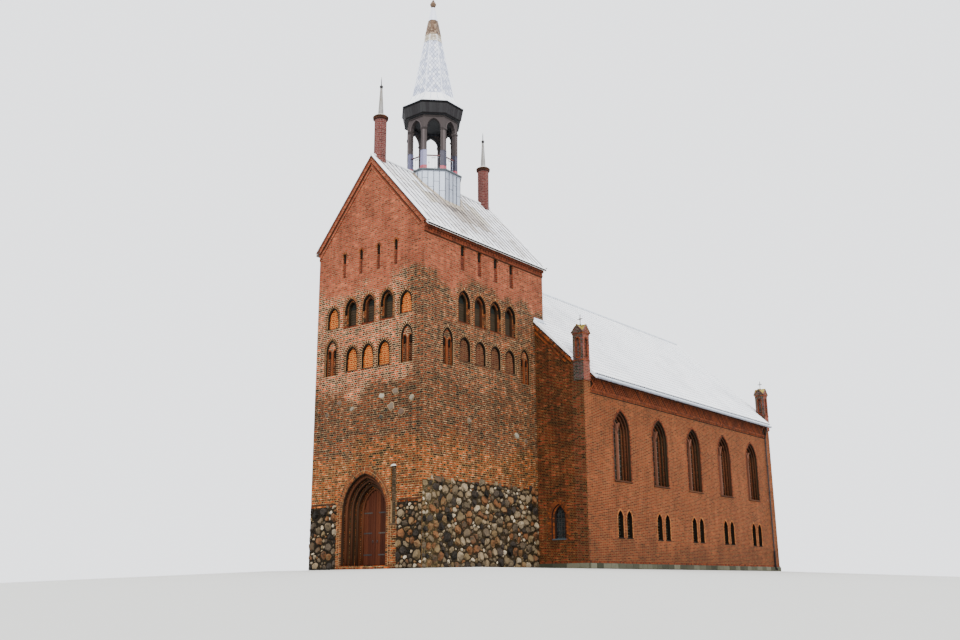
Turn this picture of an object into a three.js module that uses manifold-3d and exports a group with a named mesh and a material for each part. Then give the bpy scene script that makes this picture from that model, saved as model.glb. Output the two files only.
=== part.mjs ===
// Brick church: saddle-roofed west tower with an octagonal lantern and spire, and a wider nave behind it.
// Millimetres, +Z up. The front, with the portal, faces -Y. The nave runs toward +Y. Lengths along Y are
// counted from the tower's front face, and the whole is then centred on its plan, on the ground.
import * as THREE from 'three';
import { mergeVertices } from 'three/addons/utils/BufferGeometryUtils.js';
import Module from 'manifold-3d';

const wasm = await Module();
wasm.setup();

// Fitting gap between a piece and the one it rests on or is set into
const GAP = 0.3;
const ARC_STEPS = 4;
// Middle of the plan's length, from the tower's front verge to the rear turrets
const PLAN_MID = 15560;

// Tower
const TOWER_HALF = 3500;
const TOWER_DEPTH = 9340;
const TOWER_MID = TOWER_DEPTH / 2;
const TOWER_WALL = 1000;
const STONE_BASE_TOP = 3800;
const FRONT_SPLIT = 5200;
const TOWER_RIDGE = 19800;
const TOWER_SLOPE = 1.1493;
const TOWER_ROOF_RISE = 200;
const TOWER_ROOF_HALF = 3750;
const TOWER_VERGE = 60;
const FLOOR_TOP = 150;

// Portal with stepped orders
const PORTAL_HALF = 1410;
const PORTAL_CENTRE = 320;
const PORTAL_SPRING = 2510;
const PORTAL_ORDERS = 4;
const PORTAL_ORDER_WIDTH = 160;
const PORTAL_ORDER_DEPTH = 190;
const DOOR_THICKNESS = 60;
const DOOR_SETBACK = 40;

// Tower openings and blind niches
const SOUND_SPACING = 1205;
const SOUND_SILL = 11200;
const SOUND_SPRING = 12200;
const SOUND_HALF = 450;
const SOUND_STEP = 150;
const LOUVRE_DEPTH = 300;
const LOUVRE_THICKNESS = 40;
const SIDE_ARCADE_SPACING = 1172;
const SIDE_ARCADE_SILL = 9340;
const SIDE_ARCADE_SPRING = 10070;
const NICHE_DEPTH = 110;
const PAIR_SILL = 8970;
const SLIT_SILL = 13750;
const SLIT_SPRING = 14850;
const SLIT_HALF = 110;
const SIDE_SLIT_HALF = 145;

// Ridge pinnacles of the tower
const PINNACLE_INSET = 540;
const PINNACLE_RADIUS = 310;
const PINNACLE_TOP = 22010;

// Lantern and spire, all octagonal, radii to the corners
const LANTERN_Y = 4450;
const DRUM_RADIUS = 1550;
const DRUM_TOP = 19840;
const DECK_RADIUS = 1610;
const DECK_TOP = 19930;
const ARCADE_OUTER = 1400;
const ARCADE_INNER = 1180;
const ARCADE_TOP = 23045;
const ARCADE_SPRING = 22345;
const ARCADE_OPEN_HALF = 355;
const CORNICE_TOP = 23730;
const SPIRE_SPLIT = 28360;
const SPIRE_TOP = 30200;
const FINIAL_TOP = 31900;

// Nave
const NAVE_HALF = 6380;
const NAVE_FRONT = 8550;
const NAVE_REAR = 31080;
const NAVE_WALL = 700;
const NAVE_RIDGE = 15890;
const NAVE_SLOPE = 0.9727;
const NAVE_ROOF_RISE = 180;
const NAVE_ROOF_HALF = 6700;
const NAVE_VERGE = 60;
const PLINTH_TOP = 250;
const PLINTH_PROUD = 60;

// Recessed frieze under the nave's eaves
const FRIEZE_LOW = 8640;
const FRIEZE_HIGH = 9180;
const FRIEZE_DEPTH = 65;

// Nave windows
const BAYS = 5;
const FIRST_BAY = 11950;
const BAY = 3996;
const LANCET_SPACING = 866;
const LANCET_SILL = 1500;
const LANCET_SPRING = 2430;
const LANCET_HALF = 270;
const LANCET_GLASS_DEPTH = 200;
const WINDOW_SILL = 4300;
const WINDOW_SPRING = 6726;
const WINDOW_HALF = 830;
const WINDOW_STEP = 130;
const WINDOW_STEP_DEPTH = 110;
const WINDOW_GLASS_DEPTH = 345;
const GLASS = 20;
const REAR_BAY = 3200;
const FRONT_WINDOW_X = 4690;

// Corner turrets of the nave
const TURRET = 600;
const TURRET_BASE = 9000;
const TURRET_PROUD = 60;
const TURRET_EAVE = 11400;
const TURRET_APEX = 11760;

// Turns a closed geometry into a solid that can be joined and cut
function solid(geometry) {
  const bare = geometry.clone();
  for (const name of Object.keys(bare.attributes)) {
    if (name !== 'position') bare.deleteAttribute(name);
  }
  const merged = mergeVertices(bare, 1e-3);
  const mesh = new wasm.Mesh({
    numProp: 3,
    vertProperties: new Float32Array(merged.attributes.position.array),
    triVerts: new Uint32Array(merged.index.array),
  });
  return new wasm.Manifold(mesh);
}

// Outline given as [across, up] points, drawn out from y0 to y1
function prismXZ(points, y0, y1) {
  const shape = new THREE.Shape(points.map(([a, b]) => new THREE.Vector2(a, b)));
  const g = new THREE.ExtrudeGeometry(shape, { depth: y1 - y0, bevelEnabled: false });
  g.rotateX(Math.PI / 2);
  g.translate(0, y1, 0);
  return solid(g);
}

// Outline given as [along y, up] points, drawn out from x0 to x1
function prismYZ(points, x0, x1) {
  const shape = new THREE.Shape(points.map(([a, b]) => new THREE.Vector2(a, b)));
  const g = new THREE.ExtrudeGeometry(shape, { depth: x1 - x0, bevelEnabled: false });
  const turn = new THREE.Matrix4().makeBasis(
    new THREE.Vector3(0, 1, 0),
    new THREE.Vector3(0, 0, 1),
    new THREE.Vector3(1, 0, 0),
  );
  g.applyMatrix4(turn);
  g.translate(x0, 0, 0);
  return solid(g);
}

function box(x0, x1, y0, y1, z0, z1) {
  const g = new THREE.BoxGeometry(x1 - x0, y1 - y0, z1 - z0);
  g.translate((x0 + x1) / 2, (y0 + y1) / 2, (z0 + z1) / 2);
  return solid(g);
}

// Octagonal or round turned body about an upright axis; the profile starts and ends on the axis
function turned(profile, x, y, sides = 8) {
  const points = profile.map(([r, z]) => new THREE.Vector2(r, z));
  const g = new THREE.LatheGeometry(points, sides, Math.PI / sides);
  g.rotateX(Math.PI / 2);
  g.translate(x, y, 0);
  return solid(g);
}

// Pointed arch outline: half width, offset of the arc centres, sill and springing heights
function pointed(middle, half, centre, sill, spring, steps = ARC_STEPS) {
  const radius = half + centre;
  const end = Math.acos(centre / radius);
  const points = [[middle - half, sill], [middle + half, sill]];
  for (let i = 0; i <= steps; i += 1) {
    const a = (end * i) / steps;
    points.push([middle - centre + radius * Math.cos(a), spring + radius * Math.sin(a)]);
  }
  for (let i = steps - 1; i >= 0; i -= 1) {
    const a = (end * i) / steps;
    points.push([middle + centre - radius * Math.cos(a), spring + radius * Math.sin(a)]);
  }
  return points;
}

const group = new THREE.Group();
group.position.y = -PLAN_MID;

function add(name, body, color, roughness = 0.9, metalness = 0) {
  const out = body.getMesh();
  const g = new THREE.BufferGeometry();
  g.setAttribute('position', new THREE.BufferAttribute(new Float32Array(out.vertProperties), 3));
  g.setIndex(new THREE.BufferAttribute(new Uint32Array(out.triVerts), 1));
  g.computeVertexNormals();
  const material = new THREE.MeshStandardMaterial({ color, roughness, metalness, flatShading: true });
  const mesh = new THREE.Mesh(g, material);
  mesh.name = name;
  group.add(mesh);
}

const OLD_BRICK = 0x9c5b40;
const NEW_BRICK = 0xb0654a;
const NAVE_BRICK = 0xa9593b;
const FIELD_STONE = 0x857a6c;
const PLINTH_STONE = 0x8e8e88;
const ZINC = 0xa9b0bd;
const RIBBED_SHEET = 0xc9cbd6;
const TIMBER = 0x6b6058;
const DARK_TIMBER = 0x3a332e;
const SHINGLE = 0xb9bac6;
const GILT = 0xb08a3c;
const IRON = 0x2e2c2a;
const WINDOW_GLASS = 0x39424c;
const FLOOR_STONE = 0x77716a;

// Height of the underside of each roof, above a place so far across
const towerUnder = (x) => TOWER_RIDGE - TOWER_ROOF_RISE - TOWER_SLOPE * Math.abs(x);
const naveUnder = (x) => NAVE_RIDGE - NAVE_ROOF_RISE - NAVE_SLOPE * Math.abs(x);

// Tower front wall, lower part with the portal
const doorHalf = PORTAL_HALF - PORTAL_ORDERS * PORTAL_ORDER_WIDTH;
let frontLower = box(-TOWER_HALF, TOWER_HALF, 0, TOWER_WALL, 0, FRONT_SPLIT);
for (let i = 0; i < PORTAL_ORDERS; i += 1) {
  const half = PORTAL_HALF - i * PORTAL_ORDER_WIDTH;
  const outline = pointed(0, half, PORTAL_CENTRE, FLOOR_TOP, PORTAL_SPRING, 6);
  frontLower = frontLower.subtract(prismXZ(outline, -10, (i + 1) * PORTAL_ORDER_DEPTH));
}
const doorOutline = pointed(0, doorHalf, PORTAL_CENTRE, FLOOR_TOP, PORTAL_SPRING, 6);
frontLower = frontLower.subtract(prismXZ(doorOutline, -10, TOWER_WALL + 10));
frontLower = frontLower.subtract(box(1650, 1960, -10, 260, 1900, 4400));
add('tower_front_lower_wall', frontLower, OLD_BRICK);

// Portal doors, two leaves set in the innermost order
const doorY = PORTAL_ORDERS * PORTAL_ORDER_DEPTH + DOOR_SETBACK;
const leafOutline = pointed(0, doorHalf - GAP, PORTAL_CENTRE, FLOOR_TOP + GAP, PORTAL_SPRING, 6);
const leaves = prismXZ(leafOutline, doorY, doorY + DOOR_THICKNESS);
add('portal_left_door', leaves.intersect(box(-1000, -GAP, 0, 2000, 0, 6000)), DARK_TIMBER, 0.7);
add('portal_right_door', leaves.intersect(box(GAP, 1000, 0, 2000, 0, 6000)), DARK_TIMBER, 0.7);

// Tower front wall, upper part with its niches, sound openings, slits and gable
const frontTop = [
  [-TOWER_HALF, FRONT_SPLIT],
  [TOWER_HALF, FRONT_SPLIT],
  [TOWER_HALF, towerUnder(TOWER_HALF) - GAP],
  [0, towerUnder(0) - GAP],
  [-TOWER_HALF, towerUnder(TOWER_HALF) - GAP],
];
let frontUpper = prismXZ(frontTop, 0, TOWER_WALL);
const arcadeBays = [-1050, 0, 1050];
for (const x of arcadeBays) {
  frontUpper = frontUpper.subtract(prismXZ(pointed(x, 385, 100, 9060, 9775), -10, NICHE_DEPTH));
}
for (const x of [-2450, 2480]) {
  frontUpper = frontUpper.subtract(prismXZ(pointed(x, 370, 200, PAIR_SILL, 10240), -10, 70));
  for (const side of [-1, 1]) {
    frontUpper = frontUpper.subtract(prismXZ(pointed(x + side * 180, 125, 80, PAIR_SILL, 10080), -10, 260));
  }
}
for (const x of [-2400, 2400]) {
  frontUpper = frontUpper.subtract(prismXZ(pointed(x, 380, 120, 11300, 11900), -10, NICHE_DEPTH));
}
const frontSounds = [-1190, 0, 1190];
for (const x of frontSounds) {
  frontUpper = frontUpper.subtract(prismXZ(pointed(x, 400, 160, 11230, 12100), -10, 130));
  frontUpper = frontUpper.subtract(prismXZ(pointed(x, 270, 160, 11230, 12100), -10, TOWER_WALL + 10));
}
for (const x of [-1720, -580, 580, 1720]) {
  frontUpper = frontUpper.subtract(prismXZ(pointed(x, SLIT_HALF, 60, SLIT_SILL, SLIT_SPRING, 3), -10, 120));
  frontUpper = frontUpper.subtract(prismXZ(pointed(x, 65, 60, 14400, 14760, 3), -10, 320));
}
const bandOutline = (drop, width) => [
  [-TOWER_HALF, towerUnder(TOWER_HALF) - drop - width],
  [0, towerUnder(0) - drop - width],
  [TOWER_HALF, towerUnder(TOWER_HALF) - drop - width],
  [TOWER_HALF, towerUnder(TOWER_HALF) - drop],
  [0, towerUnder(0) - drop],
  [-TOWER_HALF, towerUnder(TOWER_HALF) - drop],
];
frontUpper = frontUpper.add(prismXZ(bandOutline(GAP, 230), -55, 20));
frontUpper = frontUpper.add(prismXZ(bandOutline(430, 130), -35, 20));
const louvreFront = LOUVRE_DEPTH;
const slotFront = box(-1600, 1600, louvreFront - GAP, louvreFront + LOUVRE_THICKNESS + GAP, 11100 - GAP, 12700);
frontUpper = frontUpper.subtract(slotFront);
add('tower_front_upper_wall', frontUpper, OLD_BRICK);
add(
  'tower_front_louvres',
  box(-1600 + GAP, 1600 - GAP, louvreFront, louvreFront + LOUVRE_THICKNESS, 11100, 12700 - GAP),
  DARK_TIMBER,
);

// The same raking bands on the rear gable, between two places across it
const rakeBetween = (x0, x1, drop, width) => {
  const span = box(x0, x1, TOWER_DEPTH - 30, TOWER_DEPTH + 60, 12000, 20000);
  return prismXZ(bandOutline(drop, width), TOWER_DEPTH - 20, TOWER_DEPTH + 45).intersect(span);
};

// Tower side walls on their field stone bases, with cornice bands under the eaves
const sideSounds = [-1.5, -0.5, 0.5, 1.5].map((k) => TOWER_MID + k * SOUND_SPACING);
const sideSlits = [-1.5, -0.5, 0.5, 1.5].map((k) => TOWER_MID + k * 1285);
const sideNiches = [-1.5, -0.5, 0.5, 1.5].map((k) => TOWER_MID + k * SIDE_ARCADE_SPACING);
const sidePairs = [-2.55, 2.55].map((k) => TOWER_MID + k * SIDE_ARCADE_SPACING);
for (const side of [1, -1]) {
  const label = side > 0 ? 'right' : 'left';
  const across = (a, b) => (side > 0 ? [a, b] : [-b, -a]);
  const section = [
    [side * (TOWER_HALF - TOWER_WALL), STONE_BASE_TOP],
    [side * TOWER_HALF, STONE_BASE_TOP],
    [side * TOWER_HALF, towerUnder(TOWER_HALF) - GAP],
    [side * (TOWER_HALF - TOWER_WALL), towerUnder(TOWER_HALF - TOWER_WALL) - GAP],
  ];
  let wall = prismXZ(section, TOWER_WALL, TOWER_DEPTH);
  const outer = (depth) => across(TOWER_HALF - depth, TOWER_HALF + 10);
  for (const y of sideNiches) {
    wall = wall.subtract(prismYZ(pointed(y, 400, 60, SIDE_ARCADE_SILL, SIDE_ARCADE_SPRING), ...outer(NICHE_DEPTH)));
  }
  for (const y of sidePairs) {
    wall = wall.subtract(prismYZ(pointed(y, 370, 200, PAIR_SILL, 10240), ...outer(70)));
    for (const k of [-1, 1]) {
      wall = wall.subtract(prismYZ(pointed(y + k * 180, 125, 80, PAIR_SILL, 10080), ...outer(260)));
    }
  }
  for (const y of sideSounds) {
    const through = across(TOWER_HALF - TOWER_WALL - 10, TOWER_HALF + 10);
    wall = wall.subtract(prismYZ(pointed(y, SOUND_HALF, 180, SOUND_SILL, SOUND_SPRING), ...outer(130)));
    wall = wall.subtract(
      prismYZ(pointed(y, SOUND_HALF - SOUND_STEP, 180, SOUND_SILL, SOUND_SPRING), ...through),
    );
  }
  for (const y of sideSlits) {
    wall = wall.subtract(prismYZ(pointed(y, SIDE_SLIT_HALF, 60, SLIT_SILL, SLIT_SPRING, 3), ...outer(120)));
    wall = wall.subtract(prismYZ(pointed(y, 115, 60, 14560, 14800, 3), ...outer(320)));
  }
  const slot = across(TOWER_HALF - LOUVRE_DEPTH - LOUVRE_THICKNESS - GAP, TOWER_HALF - LOUVRE_DEPTH + GAP);
  const reach = [TOWER_MID - 2350, TOWER_MID + 2350];
  wall = wall.subtract(box(...slot, ...reach, 11100 - GAP, 12850));
  const lowBand = [
    [side * (TOWER_HALF - 20), 15010],
    [side * (TOWER_HALF + 50), 15010],
    [side * (TOWER_HALF + 50), 15110],
    [side * (TOWER_HALF - 20), 15110],
  ];
  const highBand = [
    [side * (TOWER_HALF - 20), 15220],
    [side * (TOWER_HALF + 60), 15220],
    [side * (TOWER_HALF + 110), 15290],
    [side * (TOWER_HALF + 110), 15430],
    [side * (TOWER_HALF - 20), 15430],
  ];
  wall = wall.add(prismXZ(lowBand, TOWER_WALL, TOWER_DEPTH)).add(prismXZ(highBand, TOWER_WALL, TOWER_DEPTH));
  const end = across(TOWER_HALF - TOWER_WALL, TOWER_HALF);
  wall = wall.add(rakeBetween(...end, GAP, 230)).add(rakeBetween(...end, 430, 130));
  add(`tower_${label}_wall`, wall, OLD_BRICK);
  add(
    `tower_${label}_stone_base`,
    box(...across(TOWER_HALF - TOWER_WALL, TOWER_HALF), TOWER_WALL, TOWER_DEPTH, 0, STONE_BASE_TOP),
    FIELD_STONE,
  );
  const board = across(TOWER_HALF - LOUVRE_DEPTH - LOUVRE_THICKNESS, TOWER_HALF - LOUVRE_DEPTH);
  add(
    `tower_${label}_louvres`,
    box(...board, reach[0] + GAP, reach[1] - GAP, 11100, 12850 - GAP),
    DARK_TIMBER,
  );
}

// Tower rear wall, mostly inside the nave, with the gable above the nave's roof
const inner = TOWER_HALF - TOWER_WALL;
const rearOutline = [
  [-inner, 0],
  [inner, 0],
  [inner, towerUnder(inner) - GAP],
  [0, towerUnder(0) - GAP],
  [-inner, towerUnder(inner) - GAP],
];
let rearGable = prismXZ(rearOutline, TOWER_DEPTH - TOWER_WALL, TOWER_DEPTH);
rearGable = rearGable.add(rakeBetween(-inner, inner, GAP, 230)).add(rakeBetween(-inner, inner, 430, 130));
add('tower_rear_wall', rearGable, OLD_BRICK);
add('tower_floor', box(-inner, inner, TOWER_WALL, TOWER_DEPTH - TOWER_WALL, 0, FLOOR_TOP), FLOOR_STONE);

// Tower roof, two sheets meeting at the ridge
for (const side of [1, -1]) {
  const label = side > 0 ? 'right' : 'left';
  const outline = [
    [0, towerUnder(0)],
    [side * TOWER_ROOF_HALF, towerUnder(TOWER_ROOF_HALF)],
    [side * TOWER_ROOF_HALF, towerUnder(TOWER_ROOF_HALF) + TOWER_ROOF_RISE],
    [0, TOWER_RIDGE],
  ];
  add(`tower_${label}_roof`, prismXZ(outline, -TOWER_VERGE, TOWER_DEPTH + TOWER_VERGE), ZINC, 0.5, 0.6);
}

// What stands on the tower roof is cut to its slopes
const roofSpace = prismXZ(
  [
    [-5000, 12000],
    [5000, 12000],
    [5000, TOWER_RIDGE + GAP - TOWER_SLOPE * 5000],
    [0, TOWER_RIDGE + GAP],
    [-5000, TOWER_RIDGE + GAP - TOWER_SLOPE * 5000],
  ],
  -2000,
  TOWER_DEPTH + 2000,
);

// Brick pinnacles on the ridge at both gables, each with a slender spirelet
const pinnacles = [
  ['front', PINNACLE_INSET],
  ['rear', TOWER_DEPTH - PINNACLE_INSET],
];
for (const [label, y] of pinnacles) {
  const profile = [
    [0, 19000],
    [PINNACLE_RADIUS, 19000],
    [PINNACLE_RADIUS, PINNACLE_TOP - 210],
    [PINNACLE_RADIUS + 60, PINNACLE_TOP - 150],
    [PINNACLE_RADIUS + 60, PINNACLE_TOP],
    [PINNACLE_RADIUS + 20, PINNACLE_TOP + 10],
    [PINNACLE_RADIUS - 150, PINNACLE_TOP + 140],
    [0, PINNACLE_TOP + 140],
  ];
  add(`${label}_ridge_pinnacle`, turned(profile, 0, y, 16).subtract(roofSpace), OLD_BRICK);
  const spirelet = [
    [0, PINNACLE_TOP + 140],
    [135, PINNACLE_TOP + 140],
    [50, PINNACLE_TOP + 1600],
    [70, PINNACLE_TOP + 1640],
    [78, PINNACLE_TOP + 1700],
    [55, PINNACLE_TOP + 1760],
    [16, PINNACLE_TOP + 1790],
    [16, PINNACLE_TOP + 2240],
    [0, PINNACLE_TOP + 2240],
  ];
  add(`${label}_pinnacle_spirelet`, turned(spirelet, 0, y), IRON, 0.6, 0.4);
}

// Lantern drum, astride the ridge, with the deck moulding on top
const drumProfile = [
  [0, 17500],
  [DRUM_RADIUS, 17500],
  [DRUM_RADIUS, DRUM_TOP - 60],
  [DECK_RADIUS, DRUM_TOP],
  [DECK_RADIUS, DECK_TOP],
  [0, DECK_TOP],
];
add('lantern_drum', turned(drumProfile, 0, LANTERN_Y).subtract(roofSpace), ZINC, 0.5, 0.6);

// Open arcade of eight posts and pointed arches, with a thin rail between the posts
const ring = (outerRadius, innerRadius, z0, z1) =>
  turned([[0, z0], [outerRadius, z0], [outerRadius, z1], [0, z1]], 0, LANTERN_Y).subtract(
    turned([[0, z0 - 10], [innerRadius, z0 - 10], [innerRadius, z1 + 10], [0, z1 + 10]], 0, LANTERN_Y),
  );
let arcade = ring(ARCADE_OUTER, ARCADE_INNER, DECK_TOP, ARCADE_TOP);
const archOutline = pointed(0, ARCADE_OPEN_HALF, 200, DECK_TOP - 50, ARCADE_SPRING);
for (let i = 0; i < 4; i += 1) {
  const cutter = prismXZ(archOutline, -2000, 2000).rotate([0, 0, 45 * i]).translate([0, LANTERN_Y, 0]);
  arcade = arcade.subtract(cutter);
}
arcade = arcade.add(ring(1330, 1285, 20755, 20800));
add('lantern_arcade', arcade, TIMBER);

const corniceProfile = [
  [0, ARCADE_TOP],
  [1540, ARCADE_TOP],
  [1560, ARCADE_TOP + 60],
  [1660, CORNICE_TOP - 60],
  [1700, CORNICE_TOP - 50],
  [1700, CORNICE_TOP],
  [0, CORNICE_TOP],
];
add('lantern_cornice', turned(corniceProfile, 0, LANTERN_Y), DARK_TIMBER);

// Spire with a flared skirt, its gilt upper part, and a ball with a cross
const spireRadius = (z) => 1190 - 0.193 * (z - 24430);
const spireProfile = [
  [0, CORNICE_TOP],
  [1740, CORNICE_TOP],
  [1740, 23790],
  [1480, 24000],
  [1300, 24210],
  [spireRadius(24430), 24430],
  [spireRadius(SPIRE_SPLIT), SPIRE_SPLIT],
  [0, SPIRE_SPLIT],
];
add('spire_lower', turned(spireProfile, 0, LANTERN_Y), SHINGLE, 0.7);
const upperProfile = [
  [0, SPIRE_SPLIT],
  [spireRadius(SPIRE_SPLIT) + 20, SPIRE_SPLIT],
  [spireRadius(29290) + 20, 29290],
  [spireRadius(29320), 29320],
  [75, SPIRE_TOP],
  [0, SPIRE_TOP],
];
add('spire_upper', turned(upperProfile, 0, LANTERN_Y), GILT, 0.4, 0.8);
const ballProfile = [
  [0, SPIRE_TOP],
  [60, SPIRE_TOP],
  [130, SPIRE_TOP + 70],
  [180, SPIRE_TOP + 190],
  [130, SPIRE_TOP + 310],
  [40, SPIRE_TOP + 370],
  [0, SPIRE_TOP + 370],
];
let finial = turned(ballProfile, 0, LANTERN_Y, 12);
finial = finial.add(box(-25, 25, LANTERN_Y - 20, LANTERN_Y + 20, SPIRE_TOP + 300, FINIAL_TOP));
finial = finial.add(box(-340, 340, LANTERN_Y - 20, LANTERN_Y + 20, FINIAL_TOP - 500, FINIAL_TOP - 450));
add('spire_finial', finial, GILT, 0.4, 0.8);

// Nave side walls with paired lancets below and tall stepped windows above
const bays = Array.from({ length: BAYS }, (_, i) => FIRST_BAY + i * BAY);
const lancets = bays.flatMap((y) => [y - LANCET_SPACING / 2, y + LANCET_SPACING / 2]);
const rearBays = [-REAR_BAY, 0, REAR_BAY];
const rearLancets = rearBays.flatMap((x) => [x - LANCET_SPACING / 2, x + LANCET_SPACING / 2]);

// Cuts one wall's lancets and windows; the prism function puts a depth range on the wall's outer face
function cutWindows(wall, lancetMiddles, windowMiddles, cut) {
  let out = wall;
  for (const m of lancetMiddles) {
    out = out.subtract(cut(pointed(m, LANCET_HALF, 180, LANCET_SILL, LANCET_SPRING, 3), -10, NAVE_WALL + 10));
  }
  for (const m of windowMiddles) {
    for (let i = 0; i < 3; i += 1) {
      const half = WINDOW_HALF - i * WINDOW_STEP;
      out = out.subtract(cut(pointed(m, half, 415, WINDOW_SILL, WINDOW_SPRING), -10, (i + 1) * WINDOW_STEP_DEPTH));
    }
    const half = WINDOW_HALF - 3 * WINDOW_STEP;
    out = out.subtract(cut(pointed(m, half, 415, WINDOW_SILL, WINDOW_SPRING), -10, NAVE_WALL + 10));
  }
  return out;
}

const turretBox = (side, y0, grow) => {
  const x0 = NAVE_HALF + TURRET_PROUD - TURRET - grow;
  const x1 = NAVE_HALF + TURRET_PROUD + grow;
  const [a, b] = side > 0 ? [x0, x1] : [-x1, -x0];
  return box(a, b, y0 - grow, y0 + TURRET + grow, TURRET_BASE - grow, TURRET_EAVE);
};
const turretFronts = [NAVE_FRONT - TURRET_PROUD, NAVE_REAR + TURRET_PROUD - TURRET];

for (const side of [1, -1]) {
  const label = side > 0 ? 'right' : 'left';
  const across = (a, b) => (side > 0 ? [a, b] : [-b, -a]);
  const innerX = NAVE_HALF - NAVE_WALL;
  const section = [
    [side * innerX, PLINTH_TOP],
    [side * NAVE_HALF, PLINTH_TOP],
    [side * NAVE_HALF, naveUnder(NAVE_HALF) - GAP],
    [side * innerX, naveUnder(innerX) - GAP],
  ];
  let wall = prismXZ(section, NAVE_FRONT, NAVE_REAR);
  const cut = (outline, d0, d1) => prismYZ(outline, ...across(NAVE_HALF - d1, NAVE_HALF - d0));
  wall = cutWindows(wall, lancets, bays, cut);
  const lowGlass = across(NAVE_HALF - LANCET_GLASS_DEPTH - GLASS, NAVE_HALF - LANCET_GLASS_DEPTH);
  const highGlass = across(NAVE_HALF - WINDOW_GLASS_DEPTH - GLASS, NAVE_HALF - WINDOW_GLASS_DEPTH);
  const y0 = FIRST_BAY - 900;
  const y1 = FIRST_BAY + (BAYS - 1) * BAY + 900;
  const sheet = (range, z0, z1, grow) =>
    box(range[0] - grow, range[1] + grow, y0 - grow, y1 + grow, z0 - grow, z1 + grow);
  wall = wall.subtract(sheet(lowGlass, LANCET_SILL - 40, 2980, GAP));
  wall = wall.subtract(sheet(highGlass, WINDOW_SILL - 40, 7700, GAP));
  const frieze = box(
    ...across(NAVE_HALF - FRIEZE_DEPTH, NAVE_HALF + 10),
    NAVE_FRONT + TURRET,
    NAVE_REAR - TURRET,
    FRIEZE_LOW,
    FRIEZE_HIGH,
  );
  wall = wall.subtract(frieze);
  const lowerBand = [
    [side * (NAVE_HALF - 20), FRIEZE_LOW - 90],
    [side * (NAVE_HALF + 30), FRIEZE_LOW - 90],
    [side * (NAVE_HALF + 30), FRIEZE_LOW],
    [side * (NAVE_HALF - 20), FRIEZE_LOW],
  ];
  const upperBand = [
    [side * (NAVE_HALF - 20), FRIEZE_HIGH],
    [side * (NAVE_HALF + 30), FRIEZE_HIGH],
    [side * (NAVE_HALF + 110), FRIEZE_HIGH + 60],
    [side * (NAVE_HALF + 110), 9310],
    [side * (NAVE_HALF - 20), 9310],
  ];
  wall = wall.add(prismXZ(lowerBand, NAVE_FRONT + TURRET, NAVE_REAR - TURRET));
  wall = wall.add(prismXZ(upperBand, NAVE_FRONT + TURRET, NAVE_REAR - TURRET));
  for (const y of turretFronts) wall = wall.subtract(turretBox(side, y, GAP));
  add(`nave_${label}_wall`, wall, NAVE_BRICK);
  add(`nave_${label}_lower_glass`, sheet(lowGlass, LANCET_SILL - 40, 2980, 0), WINDOW_GLASS, 0.15);
  add(`nave_${label}_upper_glass`, sheet(highGlass, WINDOW_SILL - 40, 7700, 0), WINDOW_GLASS, 0.15);

  // Front wall beside the tower, a half gable with one window
  const half = [
    [side * (TOWER_HALF + GAP), PLINTH_TOP],
    [side * innerX, PLINTH_TOP],
    [side * innerX, naveUnder(innerX) - GAP],
    [side * (TOWER_HALF + GAP), naveUnder(TOWER_HALF) - GAP],
  ];
  let front = prismXZ(half, NAVE_FRONT, NAVE_FRONT + NAVE_WALL);
  const x = side * FRONT_WINDOW_X;
  front = front.subtract(prismXZ(pointed(x, 560, 300, 1390, 2380), NAVE_FRONT - 10, NAVE_FRONT + 110));
  front = front.subtract(prismXZ(pointed(x, 330, 300, 1390, 2440), NAVE_FRONT - 10, NAVE_FRONT + NAVE_WALL + 10));
  const pane = (grow) =>
    box(
      x - 380 - grow,
      x + 380 + grow,
      NAVE_FRONT + 260 - grow,
      NAVE_FRONT + 260 + GLASS + grow,
      1350 - grow,
      3060 + grow,
    );
  front = front.subtract(pane(GAP));
  const rake = (drop, width) => [
    [side * (TOWER_HALF + GAP), naveUnder(TOWER_HALF) - drop - width],
    [side * innerX, naveUnder(innerX) - drop - width],
    [side * innerX, naveUnder(innerX) - drop],
    [side * (TOWER_HALF + GAP), naveUnder(TOWER_HALF) - drop],
  ];
  front = front.add(prismXZ(rake(GAP, 220), NAVE_FRONT - 50, NAVE_FRONT + 20));
  front = front.add(prismXZ(rake(380, 120), NAVE_FRONT - 30, NAVE_FRONT + 20));
  add(`nave_front_${label}_wall`, front, NAVE_BRICK);
  add(`nave_front_${label}_glass`, pane(0), WINDOW_GLASS, 0.15);
}

// Nave rear gable wall
const naveInner = NAVE_HALF - NAVE_WALL;
let rearWall = prismXZ(
  [
    [-naveInner, PLINTH_TOP],
    [naveInner, PLINTH_TOP],
    [naveInner, naveUnder(naveInner) - GAP],
    [0, naveUnder(0) - GAP],
    [-naveInner, naveUnder(naveInner) - GAP],
  ],
  NAVE_REAR - NAVE_WALL,
  NAVE_REAR,
);
const cutRear = (outline, d0, d1) => prismXZ(outline, NAVE_REAR - d1, NAVE_REAR - d0);
rearWall = cutWindows(rearWall, rearLancets, rearBays, cutRear);
const rearSheet = (depth, z0, z1, grow) =>
  box(
    -REAR_BAY - 900 - grow,
    REAR_BAY + 900 + grow,
    NAVE_REAR - depth - GLASS - grow,
    NAVE_REAR - depth + grow,
    z0 - grow,
    z1 + grow,
  );
rearWall = rearWall.subtract(rearSheet(LANCET_GLASS_DEPTH, LANCET_SILL - 40, 2980, GAP));
rearWall = rearWall.subtract(rearSheet(WINDOW_GLASS_DEPTH, WINDOW_SILL - 40, 7700, GAP));
add('nave_rear_wall', rearWall, NAVE_BRICK);
add('nave_rear_lower_glass', rearSheet(LANCET_GLASS_DEPTH, LANCET_SILL - 40, 2980, 0), WINDOW_GLASS, 0.15);
add('nave_rear_upper_glass', rearSheet(WINDOW_GLASS_DEPTH, WINDOW_SILL - 40, 7700, 0), WINDOW_GLASS, 0.15);

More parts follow.
